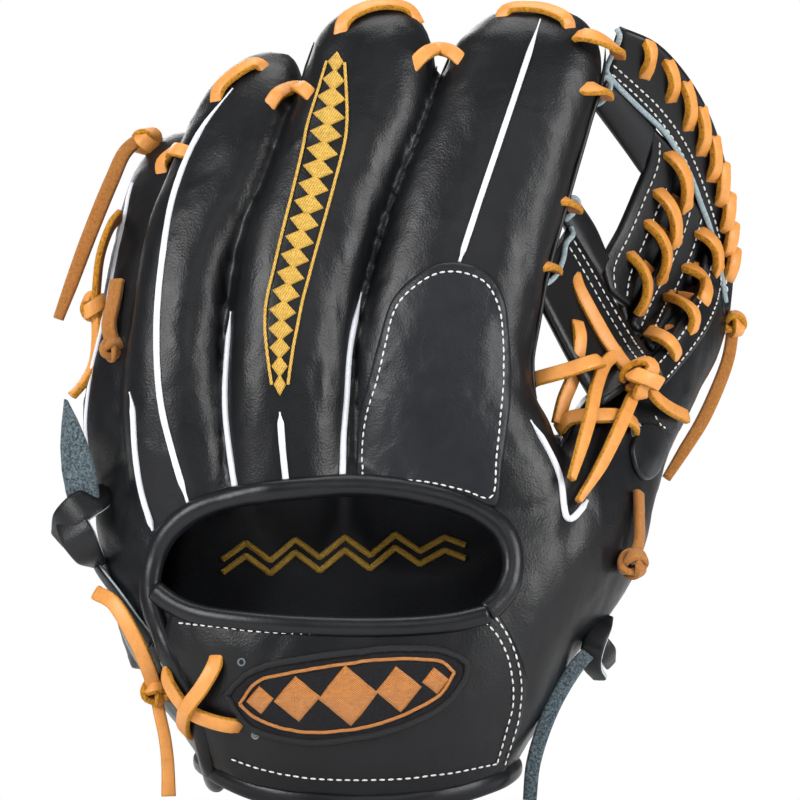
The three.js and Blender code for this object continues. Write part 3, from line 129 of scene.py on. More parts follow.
def superellipse(count: int, power: float) -> Array:
    """Points round a squared circle of half width 1, as (count, 2)."""
    turn = turns_round(count)
    return np.column_stack([np.sign(f(turn)) * np.abs(f(turn)) ** (2 / power) for f in (np.cos, np.sin)])


def table_at(shares: Sequence[float], place: Array) -> Array:
    """Reads a table of evenly spaced values smoothly.

    A cubic through four neighbours, with each slope half the step across them.

    Args:
        shares: the values.
        place: where to read, from 0 to 1.

    Returns:
        One value for each place.
    """
    values = np.asarray(shares, float)
    last = len(values) - 1
    spot = np.clip(place, 0, 1) * last
    cell = np.minimum(np.floor(spot).astype(int), last - 1)
    t = spot - cell
    a, b, c, d = (values[np.clip(cell + step, 0, last)] for step in (-1, 0, 1, 2))
    return b + 0.5 * t * (c - a + t * (2 * a - 5 * b + 4 * c - d + t * (3 * (b - c) + d - a)))


def lengths_along(path: Array) -> Array:
    """How long a path is up to each of its points."""
    return np.concatenate([[0], np.cumsum(np.linalg.norm(np.diff(path, axis=0), axis=1))])


def resampled(points: Array, count: int) -> Array:
    """A run of points read at equal lengths, from its first point to its last."""
    length = lengths_along(points)
    places = np.linspace(0, length[-1], count)
    return np.column_stack([np.interp(places, length, points[:, k]) for k in range(points.shape[1])])


def smooth_route(points: Array, step: float = 1.5 * MM) -> Array:
    """Runs a smooth curve through points and spaces it evenly.

    Each stretch is a cubic whose end slopes come from its neighbours, weighted by the
    distances between the points, and the result is read off at equal lengths.

    Args:
        points: (n, k) points to pass through.
        step: distance between the places that come back.

    Returns:
        An (m, k) array.
    """
    pts = np.asarray(points, float)
    knots = np.concatenate([[0], np.cumsum(np.sqrt(np.linalg.norm(np.diff(pts, axis=0), axis=1)) + 1e-9)])
    slopes = np.gradient(pts, knots, axis=0)
    t = np.linspace(0, 1, 24, endpoint=False)[None, :, None]
    gap = np.diff(knots)[:, None, None]
    p0, p1, m0, m1 = pts[:-1, None], pts[1:, None], slopes[:-1, None] * gap, slopes[1:, None] * gap
    dense = ((2 * t**3 - 3 * t**2 + 1) * p0 + (t**3 - 2 * t**2 + t) * m0
             + (3 * t**2 - 2 * t**3) * p1 + (t**3 - t**2) * m1)
    dense = np.vstack([dense.reshape(-1, pts.shape[1]), pts[-1:]])
    return resampled(dense, max(int(round(lengths_along(dense)[-1] / step)), 2) + 1)


def smoothed(values: Array, rounds: int) -> Array:
    """Averages each row of a path with its neighbours, with both ends kept."""
    out = values.copy()
    for _ in range(rounds):
        out[1:-1] = out[1:-1] * 0.5 + (out[:-2] + out[2:]) * 0.25
    return out


def drawn_in(outline: Array, shares: Array) -> Array:
    """Copies of a flat outline, each drawn in to a share of its size about its middle."""
    middle = outline.mean(0)
    return middle + (outline - middle)[None] * shares[:, None, None]


@dataclass
class Sheet:
    """Points and faces of one mesh, with a texture place for each point.

    Attributes:
        points: (n, 3) places in metres.
        faces: (m, 4) corners.
        places: (n, 2) distance along and share across, in metres and from -1 to 1.
    """

    points: Array
    faces: Array
    places: Array | None = None


def join_sheets(sheets: Sequence[Sheet]) -> Sheet:
    """Several sheets as one mesh."""
    before = np.cumsum([0] + [len(sheet.points) for sheet in sheets[:-1]])
    places = None if any(sheet.places is None for sheet in sheets) else np.vstack([s.places for s in sheets])
    return Sheet(np.vstack([sheet.points for sheet in sheets]),
                 np.vstack([sheet.faces + start for sheet, start in zip(sheets, before)]), places)


def grid_faces(rows: int, columns: int, around: bool = False) -> Array:
    """Corners of the quads of a grid.

    Args:
        rows: rows of points.
        columns: points in a row.
        around: whether each row closes on itself.

    Returns:
        An (m, 4) array.
    """
    first = np.arange(rows - 1)[:, None] * columns
    c = np.arange(columns if around else columns - 1)
    after = (c + 1) % columns
    quads = [first + c, first + after, first + columns + after, first + columns + c]
    return np.stack(quads, axis=-1).reshape(-1, 4)


def grid_normals(points: Array) -> Array:
    """Unit normals of a grid, turned to the back of the glove."""
    normals = unit(np.cross(np.gradient(points, axis=0), np.gradient(points, axis=1)))
    return normals * (-1.0 if normals[..., 1].mean() > 0 else 1.0)


def tube_sheet(rings: Array, places: Array | None = None) -> Sheet:
    """A closed skin over rings, each end drawn in to its own centre.

    Args:
        rings: (r, c, 3) points, one ring after the other.
        places: (r, c, 2) texture places.

    Returns:
        The sheet, its faces turned outwards.
    """
    start, end = (np.broadcast_to(ring.mean(0), ring.shape)[None] for ring in (rings[0], rings[-1]))
    rings = np.concatenate([start, (rings[:1] + start) / 2, rings, (rings[-1:] + end) / 2, end])
    if places is not None:
        places = np.concatenate([places[:1], places[:1], places, places[-1:], places[-1:]]).reshape(-1, 2)
    faces = grid_faces(*rings.shape[:2], around=True)
    flat = rings.reshape(-1, 3)
    a, b, c, d = (flat[faces[:, k]] for k in range(4))
    volume = (a * (np.cross(b, c) + np.cross(c, d))).sum()
    return Sheet(flat, faces[:, ::-1] if volume < 0 else faces, places)


def sweep(path: Array, normals: Array, widths: Array | float, heights: Array | float, power: float,
          sides: int) -> Sheet:
    """Carries a rounded flat section along a path.

    The section is a superellipse. Its width lies square to the path and to the normal,
    and its height along the normal.

    Args:
        path: (n, 3) centre line.
        normals: (n, 3) directions that the flat face looks in.
        widths: full width at each point.
        heights: full height at each point.
        power: 2 is an ellipse, and more is squarer.
        sides: points round the section.

    Returns:
        A closed sheet whose places are (distance along, -1 at the back to 1 on the face).
    """
    along = unit(np.gradient(path, axis=0))
    side = unit(np.cross(along, normals))
    face = unit(np.cross(side, along))
    u, v = superellipse(sides, power).T
    wide, high = (np.broadcast_to(np.asarray(size, float), len(path))[:, None] / 2 for size in (widths,
                                                                                                heights))
    rings = path[:, None] + side[:, None] * (u * wide)[..., None] + face[:, None] * (v * high)[..., None]
    return tube_sheet(rings, np.dstack(np.broadcast_arrays(lengths_along(path)[:, None], v)))


def slab(front: Array, thickness: float) -> Sheet:
    """A sheet of even thickness behind a grid of points, with its rim rounded off.

    Halfway from face to back, the rim stands out by a quarter of the thickness.

    Args:
        front: (r, c, 3) points of the face.
        thickness: how far the back lies behind the face.

    Returns:
        A closed sheet with places (share along, 1 on the face to -1 on the back).
    """
    rows, columns = front.shape[:2]
    face, normals = front.reshape(-1, 3), grid_normals(front).reshape(-1, 3)
    count = len(face)
    index = np.arange(count).reshape(rows, columns)
    rim = np.concatenate([index[0], index[1:, -1], index[-1, -2::-1], index[-2:0:-1, 0]])
    after = np.roll(rim, -1)
    outward = unit(np.cross(unit(np.roll(face[rim], -1, 0) - np.roll(face[rim], 1, 0)), normals[rim]))
    if (outward * (face[rim] - face.mean(0))).sum() < 0:
        outward = -outward
    bulge = face[rim] - normals[rim] * thickness / 2 + outward * thickness * 0.25
    middle = 2 * count + np.arange(len(rim))
    faces = [grid_faces(rows, columns), grid_faces(rows, columns)[:, ::-1] + count,
             np.stack([rim, middle, np.roll(middle, -1), after], axis=-1),
             np.stack([middle, rim + count, after + count, np.roll(middle, -1)], axis=-1)]
    along = np.repeat(np.linspace(0, 1, rows), columns)
    ones, edge = np.ones(count), np.zeros(len(rim))
    places = np.column_stack([np.concatenate([along, along, edge]), np.concatenate([ones, -ones, edge])])
    return Sheet(np.concatenate([face, face - normals * thickness, bulge]), np.vstack(faces), places)


def stitch_row(points: Array, normals: Array) -> Sheet:
    """A row of stitches, evenly spaced along points.

    A stitch is a stretched ball: its radius falls off towards both ends as a circle does.

    Args:
        points: (n, 3) places on the leather.
        normals: (n, 3) directions out of it.

    Returns:
        All the stitches as one sheet.
    """
    count = max(int(lengths_along(points)[-1] / STITCH_PITCH), 2)
    both = resampled(np.hstack([points, normals * 1e-4]), count * 2 + 1)
    outward = unit(both[1::2, 3:])
    along = unit(both[2::2, :3] - both[:-2:2, :3])
    centres = both[1::2, :3] + outward * STITCH_WIDTH * 0.12
    turn = turns_round(6)
    run = np.array([-1.0, -0.72, 0.0, 0.72, 1.0])[:, None]
    size = np.array([0.05, 0.75, 1.0, 0.75, 0.05])[:, None]
    shape = np.dstack(np.broadcast_arrays(run * STITCH_LENGTH / 2, size * np.cos(turn) * STITCH_WIDTH / 2,
                                          size * np.sin(turn) * STITCH_HEIGHT / 2)).reshape(-1, 3)
    axes = np.stack([along, unit(np.cross(along, outward)), outward], axis=1)
    bars = centres[:, None] + np.einsum("pk,nkd->npd", shape, axes)
    faces = grid_faces(5, 6, around=True)[None] + (np.arange(count) * len(shape))[:, None, None]
    places = np.tile(np.column_stack([shape[:, 0], shape[:, 2] / STITCH_HEIGHT * 2]), (count, 1))
    return Sheet(bars.reshape(-1, 3), faces.reshape(-1, 4), places)


def inside(points: Array, outline: Array) -> Array:
    """Whether each point of a plane lies inside a closed outline.

    Counts how often a line to the side crosses the outline.

    Args:
        points: (n, 2) places.
        outline: (m, 2) corners.

    Returns:
        n truth values.
    """
    x, z = points[:, :1], points[:, 1:]
    a, b = outline, np.roll(outline, -1, axis=0)
    rise = b[:, 1] - a[:, 1]
    spans = (a[:, 1] > z) != (b[:, 1] > z)
    crossing = a[:, 0] + (z - a[:, 1]) / np.where(rise == 0, 1e-9, rise) * (b[:, 0] - a[:, 0])
    return (np.count_nonzero(spans & (x < crossing), axis=1) % 2) == 1


def linked(name: str, data: bpy.types.ID) -> bpy.types.Object:
    """A new object of a mesh, a lamp or a camera, put in the scene."""
    obj = bpy.data.objects.new(name, data)
    bpy.context.scene.collection.objects.link(obj)
    return obj


def mesh_object(name: str, points: Array, faces: Array) -> bpy.types.Object:
    """A new object of points and faces, shaded smoothly."""
    mesh = bpy.data.meshes.new(name)
    mesh.from_pydata(points.reshape(-1, 3).tolist(), [], faces.tolist())
    mesh.polygons.foreach_set("use_smooth", np.full(len(mesh.polygons), True))
    return linked(name, mesh)


def put(name: str, sheet: Sheet, finish: "Finish", body: Body, nodes: Sequence[str] = (),
        normals: Array | None = None) -> bpy.types.Object:
    """Makes a piece of the glove and ties it to the frame.

    Args:
        name: the piece's name.
        sheet: its mesh.
        finish: what it is made of.
        body: the body that carries it, or both where it bends.
        nodes: CAD nodes that it stands for.
        normals: (n, 3) normals to keep, where it continues a neighbour's surface.

    Returns:
        The object.
    """
    obj = mesh_object(name, sheet.points, sheet.faces)
    mesh = obj.data
    for label, values in zip(("along", "face"), () if sheet.places is None else sheet.places.T):
        layer = mesh.attributes.new(label, "FLOAT", "POINT")
        layer.data.foreach_set("value", np.ascontiguousarray(values, np.float32))
    if normals is not None:
        mesh.normals_split_custom_set_from_vertices(normals.tolist())
    mesh.materials.append(finish.material())
    if nodes:
        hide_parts(*nodes)
    if body is Body.BOTH:
        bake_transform(obj)
    else:
        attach(obj, body.value)
    log.info("%s: %d faces", name, len(mesh.polygons))
    return obj


def colour(code: str) -> tuple[float, float, float, float]:
    """Linear red, green, blue and alpha of a colour code such as #E9A45B."""
    parts = [int(code[i:i + 2], 16) / 255 for i in (1, 3, 5)]
    line = [p / 12.92 if p <= 0.04045 else ((p + 0.055) / 1.055) ** 2.4 for p in parts]
    return (line[0], line[1], line[2], 1.0)


class Wiring:
    """Adds nodes to a material or a world and joins them."""

    def __init__(self, data: bpy.types.Material | bpy.types.World, shader: str = "Principled BSDF") -> None:
        """Starts from the shader that the data already has."""
        data.use_nodes = True
        self.tree = data.node_tree
        self.shader = self.tree.nodes[shader]

    def feed(self, target: Socket, value: object) -> None:
        """Joins an output to an input, or gives the input a value."""
        if isinstance(value, Socket):
            self.tree.links.new(value, target)
        else:
            target.default_value = value

    def settle(self, **values: object) -> None:
        """Feeds inputs of the shader, named with spaces as underscores."""
        for key, value in values.items():
            self.feed(self.shader.inputs[key.replace("_", " ")], value)

    def node(self, kind: str, **settings: object) -> bpy.types.Node:
        """A new node.

        Args:
            kind: the node's type name.
            settings: a property, or an input's name with spaces as underscores.

        Returns:
            The node.
        """
        made = self.tree.nodes.new(kind)
        for key, value in settings.items():
            if hasattr(made, key):
                setattr(made, key, value)
            else:
                self.feed(made.inputs[key.replace("_", " ")], value)
        return made

    def maths(self, operation: str, *sources: Socket) -> Socket:
        """Outputs put through a product, a maximum or the like."""
        made = self.node("ShaderNodeMath", operation=operation)
        for target, source in zip(made.inputs, sources):
            self.feed(target, source)
        return made.outputs[0]

    def place(self) -> Socket:
        """The object's own coordinates."""
        return self.node("ShaderNodeTexCoord").outputs["Object"]

    def attribute(self, name: str) -> Socket:
        """A value kept on the piece's points."""
        return self.node("ShaderNodeAttribute", attribute_name=name).outputs["Fac"]

    def to_camera(self) -> Socket:
        """1 for the rays that the camera sees, also through glass, and 0 for the others."""
        rays = self.node("ShaderNodeLightPath").outputs
        return self.maths("MAXIMUM", rays["Is Camera Ray"], rays["Is Transmission Ray"])

    def noise(self, scale: float, detail: float, rough: float, stretch: Sequence[float] = (1, 1,
                                                                                           1)) -> Socket:
        """Noise in the object's coordinates, from 0 to 1."""
        mapping = self.node("ShaderNodeMapping", Vector=self.place(), Scale=stretch)
        return self.node("ShaderNodeTexNoise", Scale=scale, Detail=detail, Roughness=rough,
                         Vector=mapping.outputs["Vector"]).outputs["Fac"]

    def ramp(self, source: Socket, low: float, high: float, to_low: float = 0, to_high: float = 1) -> Socket:
        """Maps a range of a value to another, with its ends held."""
        return self.node("ShaderNodeMapRange", Value=source, From_Min=low, From_Max=high, To_Min=to_low,
                         To_Max=to_high).outputs["Result"]

    def blend(self, share: Socket, first: object, second: object) -> Socket:
        """Mixes two colours, each a colour or an output."""
        made = self.node("ShaderNodeMix", data_type="RGBA", Factor=share)
        for name, value in (("A", first), ("B", second)):
            self.feed([s for s in made.inputs if s.name == name and s.type == "RGBA"][0], value)
        return [s for s in made.outputs if s.type == "RGBA"][0]

    def relief(self, *layers: tuple[Socket, float, float]) -> None:
        """Stacks bumps on the shader's normal, each of a height, a strength and a depth in metres."""
        before = None
        for height, strength, depth in layers:
            made = self.node("ShaderNodeBump", Strength=strength, Distance=depth, Height=height)
            if before is not None:
                self.feed(made.inputs["Normal"], before)
            before = made.outputs["Normal"]
        self.settle(Normal=before)


@dataclass(frozen=True)
class Finish:
    """What a piece is made of.

    Attributes:
        name: the material's name.
        slot: the material slot of the record; not used.
    """

    name: str
    slot: str

    def material(self) -> bpy.types.Material:
        """The material, made once."""
        made = bpy.data.materials.get(self.name)
        if made is None:
            made = bpy.data.materials.new(self.name)
            self.wire(Wiring(made))
        return made

    def wire(self, w: Wiring) -> None:
        """Makes the material's nodes."""
        raise NotImplementedError


@dataclass(frozen=True)
class Leather(Finish):
    """Tanned leather: fine pores, soft wrinkles and a worn sheen.

    Attributes:
        dark: colour in the hollows.
        light: colour where it is rubbed.
        gloss: middle roughness.
        pore: pores to the metre.
        depth: how deep the pores look.
        edge: colour of a cut edge, or an empty text.
    """

    dark: str
    light: str
    gloss: float = 0.36
    pore: float = 1300
    depth: float = 0.5
    edge: str = ""

    def wire(self, w: Wiring) -> None:
        """Pores from cells, wrinkles and patches from noise."""
        tone = w.blend(w.ramp(w.noise(28, 5, 0.6), 0.3, 0.72), colour(self.dark), colour(self.light))
        if self.edge:
            rim = w.maths("ABSOLUTE", w.attribute("face"))
            tone = w.blend(w.ramp(rim, 0.55, 0.3), tone, colour(self.edge))
        worn = w.ramp(w.noise(60, 6, 0.65), 0.3, 0.7, self.gloss - 0.05, self.gloss + 0.07)
        w.settle(Base_Color=tone, Roughness=worn, Specular_IOR_Level=0.25)
        pores = w.node("ShaderNodeTexVoronoi", feature="SMOOTH_F1", Scale=self.pore, Smoothness=0.6,
                       Vector=w.place())
        w.relief((w.noise(38, 4, 0.5), 0.16, 0.0009), (w.noise(420, 5, 0.6, (1, 1, 0.5)), 0.22, 0.00025),
                 (pores.outputs["Distance"], self.depth, 0.00012))


@dataclass(frozen=True)
class Rawhide(Finish):
    """A lace cut from tanned hide: smooth face, paler cut edges and suede behind.

    Attributes:
        face: colour of the grain side.
        edge: colour of the cut edges.
        spot: colour of the dark spots on them.
        suede: colour of the flesh side.
    """

    face: str
    edge: str
    spot: str
    suede: str

    def wire(self, w: Wiring) -> None:
        """Three bands round the section, with streaks along it."""
        side = w.attribute("face")
        face = w.blend(w.ramp(w.noise(230, 6, 0.7), 0.42, 0.85, 0, 0.5), colour(self.face),
                       colour(self.suede))
        fuzz = w.noise(950, 5, 0.8)
        cut = w.blend(w.ramp(fuzz, 0.36, 0.55), colour(self.spot), colour(self.edge))
        front = w.blend(w.ramp(side, 0.66, 0.82), cut, face)
        w.settle(Base_Color=w.blend(w.ramp(side, -0.66, -0.8), front, colour(self.suede)),
                 Roughness=w.ramp(side, 0.6, 0.85, 0.9, 0.44), Specular_IOR_Level=0.4)
        w.relief((w.noise(300, 5, 0.6), 0.25, 0.0003),
                 (w.maths("MULTIPLY", fuzz, w.ramp(side, 0.66, 0.84, 1.0, 0.06)), 0.9, 0.0007))


@dataclass(frozen=True)
class Thread(Finish):
    """Twisted thread.

    Attributes:
        tone: its colour.
        shade: painted shade, the colour in the grooves between the strands.
        shine: roughness.
    """

    tone: str
    shade: str
    shine: float = 0.55

    def wire(self, w: Wiring) -> None:
        """Strands seen as slanting bands along the thread, with painted shade in the grooves between them."""
        bands = w.node("ShaderNodeTexWave", Scale=900, Distortion=1.5, Detail=2, bands_direction="DIAGONAL",
                       Vector=w.place()).outputs["Fac"]
        # the bands' hollows take the painted shade colour and their crowns the thread's tone
        w.settle(Base_Color=w.blend(w.ramp(bands, 0.1, 0.7), colour(self.shade), colour(self.tone)),
                 Roughness=self.shine, Specular_IOR_Level=0.3)
        w.relief((bands, 0.5, 0.0002))


@dataclass(frozen=True)
class SatinStitch(Finish):
    """Embroidery of close parallel threads with a silky light, partly painted into the colour as highlight
    and shade.

    Attributes:
        tone: painted highlight, the colour of the lit threads.
        shade: painted shade, the colour between them.
        slant: turn of the threads about Y, in degrees.
        pitch: threads to the metre.
    """

    tone: str
    shade: str
    slant: float = 0.0
    pitch: float = 1900

    def wire(self, w: Wiring) -> None:
        """Bands square to the threads, painted highlight on their crowns and painted shade between them,
        broken by noise along them that mixes in more of the painted shade.
        """
        turned = w.node("ShaderNodeMapping", Rotation=(0, math.radians(self.slant), 0), Vector=w.place())
        bands = w.node("ShaderNodeTexWave", Scale=self.pitch * math.pi / 10, Distortion=0.6, Detail=2,
                       Detail_Scale=30, Vector=turned.outputs["Vector"]).outputs["Fac"]
        mottle = w.noise(420, 4, 0.6, (1, 1, 3))
        # painted highlight on the bands' crowns, painted shade in their hollows
        lit = w.blend(w.ramp(bands, 0.05, 0.6), colour(self.shade), colour(self.tone))
        # the noise patches darken the threads towards the painted shade
        w.settle(Base_Color=w.blend(w.ramp(mottle, 0.35, 0.75, 0, 0.55), lit, colour(self.shade)),
                 Roughness=0.36, Sheen_Weight=0.08, Specular_IOR_Level=0.5)
        w.relief((mottle, 0.25, 0.0003), (bands, 0.8, 0.0003))


@dataclass(frozen=True)
class Felt(Finish):
    """Felt, suede or brushed cloth.

    Attributes:
        tone: its colour.
        nap: colour of the raised hairs.
    """

    tone: str
    nap: str

    def wire(self, w: Wiring) -> None:
        """Short hairs from fine noise."""
        hairs = w.noise(1100, 6, 0.75)
        w.settle(Base_Color=w.blend(w.ramp(hairs, 0.4, 0.75), colour(self.tone), colour(self.nap)),
                 Roughness=0.95, Sheen_Weight=0.1, Specular_IOR_Level=0.2)
        w.relief((w.noise(200, 4, 0.6), 0.3, 0.0006), (hairs, 0.7, 0.0003))


BLACK_LEATHER = Leather("black_leather", "leather_black", "#08090B", "#0F1013")
PAD_LEATHER = Leather("pad_leather", "leather_black", "#101216", "#17191D", gloss=0.4, depth=0.6)
ROLLED_LEATHER = Leather("rolled_leather", "leather_black", "#0C0D0F", "#15161A", gloss=0.32, depth=0.25)
STRAP_LEATHER = Leather("strap_leather", "leather_black", "#08090B", "#0F1013", edge="#5B656A")
WELT_LEATHER = Leather("welt_leather", "welt_white", "#B9BBC3", "#D6D8DE", gloss=0.42, pore=2200, depth=0.2)
LINING = Leather("lining_leather", "lining_black", "#101114", "#181A1E", gloss=0.62, pore=900, depth=0.8)
TIE_LEATHER = Leather("tie_leather", "leather_black", "#0D0E10", "#191A1D", gloss=0.4, edge="#A9B4BA")
LACE = Rawhide("tan_lace", "lace_tan", "#C98740", "#BE8214", "#7A4A10", "#945A2A")
LACE_SUEDE = Felt("tan_suede", "lace_tan", "#8C5828", "#AA763E")
CUT_EDGE = Felt("cut_edge", "leather_black", "#74848A", "#A7B4B9")
GREY_SUEDE = Felt("grey_suede", "leather_black", "#20292D", "#74848B")
# the second colour of each thread is painted shade between its strands
STITCH = Thread("white_thread", "welt_white", "#DCDCDA", "#A2A2A0")
# each satin's tone is painted highlight and its second colour painted shade
GOLD = SatinStitch("gold_thread", "thread_gold", "#E9BE4A", "#8A5E14", slant=20)
LINING_GOLD = SatinStitch("lining_gold_thread", "thread_gold", "#E3B845", "#7E5614", slant=-35)
COPPER = SatinStitch("copper_satin", "satin_copper", "#D08A3C", "#7A3E12", slant=55)
PATCH_FELT = Felt("patch_felt", "leather_black", "#0C0C0E", "#1D1E22")
# its second colour is painted shade between the strands
PATCH_ROPE = Thread("patch_rope", "leather_black", "#101114", "#050506", shine=0.6)
PAD_FELT = Felt("pad_felt", "pad_felt", "#B8B2A4", "#D2CDC1")
EYELET = Leather("eyelet", "leather_black", "#4A5257", "#7E8A90", gloss=0.5, depth=0.1)


STALL_THICKNESS = (1, 0.98, 0.96, 0.9, 0.83, 0.78, 0.73, 0.7, 0.67, 0.65, 0.62)
STALL_CURL = (0, 0, 0.02, 0.05, 0.11, 0.19, 0.29, 0.42, 0.57, 0.77, 1)


@dataclass(frozen=True)
class Stall:
    """One finger of the glove: a run of squared ovals that leans, curls and narrows.

    Attributes:
        root: where it starts, in mm.
        length: from there to the tip, in mm.
        lean: how far the tip lies towards the thumb, in mm.
        curl: how far the tip lies towards the palm, in mm.
        width: full width, in mm.
        thickness: full thickness, in mm.
        reach: how far the root runs on into the hand, in mm.
        root_share: size of the very end of that.
        merge: extra half width at the root, in mm.
        turn: how far the back is turned, in degrees.
        leans: share of the lean along the finger.
        widths: share of the width along the finger.
        thicknesses: share of the thickness along the finger.
        curls: share of the curl along the finger.
    """

    root: tuple[float, float, float]
    length: float
    lean: float
    curl: float
    width: float
    thickness: float
    reach: float
    root_share: float
    merge: float
    turn: float
    leans: tuple[float, ...]
    widths: tuple[float, ...]
    thicknesses: tuple[float, ...] = STALL_THICKNESS
    curls: tuple[float, ...] = STALL_CURL

    def spine(self, s: Array) -> Array:
        """Points on the middle line at shares of the length."""
        return np.column_stack([self.root[0] + self.lean * table_at(self.leans, s),
                                self.root[1] + self.curl * table_at(self.curls, s),
                                self.root[2] + self.length * s]) * MM

    def axes(self, s: Array) -> tuple[Array, Array, Array]:
        """Directions along the finger, across it and to the palm."""
        along = unit(self.spine(s + 0.02) - self.spine(s - 0.02))
        turn = math.radians(self.turn)
        wide = np.array([math.cos(turn), math.sin(turn), 0.0])
        wide = unit(wide - along * (along @ wide)[:, None])
        return along, wide, np.cross(along, wide)

    def half_sizes(self, s: Array) -> tuple[Array, Array]:
        """Half the width and half the thickness at shares of the length."""
        near = np.maximum(1 - np.maximum(s, 0) * 2, 0)
        return ((0.5 * self.width * table_at(self.widths, s) + self.merge * near**2) * MM,
                0.5 * self.thickness * table_at(self.thicknesses, s) * MM)

    def loft(self, grow: float = 0.0, stop: float = 0.0) -> Sheet:
        """The stall's skin.

        Rings of a squared oval stand square to the middle line. The last ones shrink as
        the cosine of an angle that runs to the tip, which makes the rounded end.

        Args:
            grow: how far the skin moves outwards, in mm.
            stop: how far short of the tip it ends, in mm.

        Returns:
            A closed sheet.
        """
        start = -self.reach / self.length
        dome_from, dome_to = 1 - (23 + stop) / self.length, 1 - stop / self.length
        angle = np.radians(np.linspace(0, 88, 14)[1:])
        ends = 1 - np.linspace(0, 1, 6)[:-1]
        dome = dome_from + (dome_to - dome_from) * np.sin(angle)
        s = np.concatenate([start * ends, np.linspace(0, dome_from, 40), dome])
        size = np.concatenate([1 - (1 - self.root_share) * ends**2, np.ones(40), np.cos(angle)])
        _, wide, palm = self.axes(s)
        half_wide, half_deep = (((half + grow * MM) * size)[:, None, None] for half in self.half_sizes(s))
        ring = superellipse(56, 2.4)
        return tube_sheet(self.spine(s)[:, None] + wide[:, None] * half_wide * ring[None, :, :1]
                          + palm[:, None] * half_deep * ring[None, :, 1:])

    def nearness(self, points: Array) -> tuple[Array, Array]:
        """How far out each point lies in the stall's own oval, and on which side.

        Args:
            points: (n, 3) places.

        Returns:
            The share of the half size at which each point lies, and its share to the palm.
        """
        s = (points[:, 2] / MM - self.root[2]) / self.length
        for _ in range(2):
            along, wide, palm = self.axes(s)
            s = s + np.einsum("ij,ij->i", points - self.spine(s), along) / (self.length * MM)
            s = np.clip(s, -self.reach / self.length, 1)
        along, wide, palm = self.axes(s)
        offset = points - self.spine(s)
        half_wide, half_deep = self.half_sizes(s)
        u, v, w = (np.einsum("ij,ij->i", offset, way) / half
                   for way, half in ((wide, half_wide), (palm, half_deep), (along, 12 * MM)))
        return np.sqrt(u**2 + v**2 + w**2), v


INDEX = Stall((39.2, -4, 100), 175.5, 27.5, 35, 76, 48, 24, 0.8, 6, 0,
              (0, -0.08, -0.16, -0.14, 0, 0.15, 0.35, 0.57, 0.8, 1, 1),
              (1, 0.93, 0.83, 0.81, 0.8, 0.785, 0.765, 0.74, 0.71, 0.69, 0.66))
MIDDLE = Stall((-17.5, -6, 100), 176, 34.3, 38, 46, 48, 24, 0.8, 6, 0,
               (0, -0.01, -0.02, 0.01, 0.06, 0.16, 0.34, 0.54, 0.75, 0.87, 1),
               (0.79, 0.85, 0.91, 0.94, 0.97, 1, 0.96, 0.96, 0.98, 0.95, 0.91))
RING = Stall((-50.8, 0, 100), 159.3, 28.8, 40, 40, 42, 24, 0.75, 5, -25,
             (0, -0.08, -0.15, -0.17, -0.13, -0.07, 0.07, 0.32, 0.52, 0.77, 1),
             (0.79, 0.88, 0.9, 0.88, 0.87, 0.87, 0.92, 1, 0.97, 0.89, 0.79))
PINKY = Stall((-68.6, 19, 100), 131.7, 11.9, 42, 40, 36, 58, 0.3, 1, -50,
              (0, -0.15, -0.24, -0.2, -0.09, 0.06, 0.18, 0.35, 0.59, 0.82, 1),
              (0.8, 0.9, 0.97, 0.99, 0.97, 0.95, 0.93, 0.91, 0.88, 0.84, 0.8),
              (0.8, 0.88, 0.93, 0.9, 0.83, 0.78, 0.73, 0.7, 0.67, 0.65, 0.62))
THUMB = Stall((62, -6, 45), 130, 72, 88, 56, 36, 26, 0.4, 1, 58,
              (0, 0.1, 0.2, 0.29, 0.36, 0.43, 0.52, 0.63, 0.75, 0.88, 1),
              (0.55, 0.74, 0.9, 0.99, 1, 0.93, 0.83, 0.73, 0.66, 0.62, 0.6),
              (0.66, 0.78, 0.88, 0.92, 0.86, 0.77, 0.7, 0.64, 0.6, 0.58, 0.56),
              (0, 0.011, 0.045, 0.1, 0.18, 0.295, 0.43, 0.557, 0.705, 0.84, 1))
STALLS = {"index": INDEX, "middle": MIDDLE, "ring": RING, "pinky": PINKY, "thumb": THUMB}


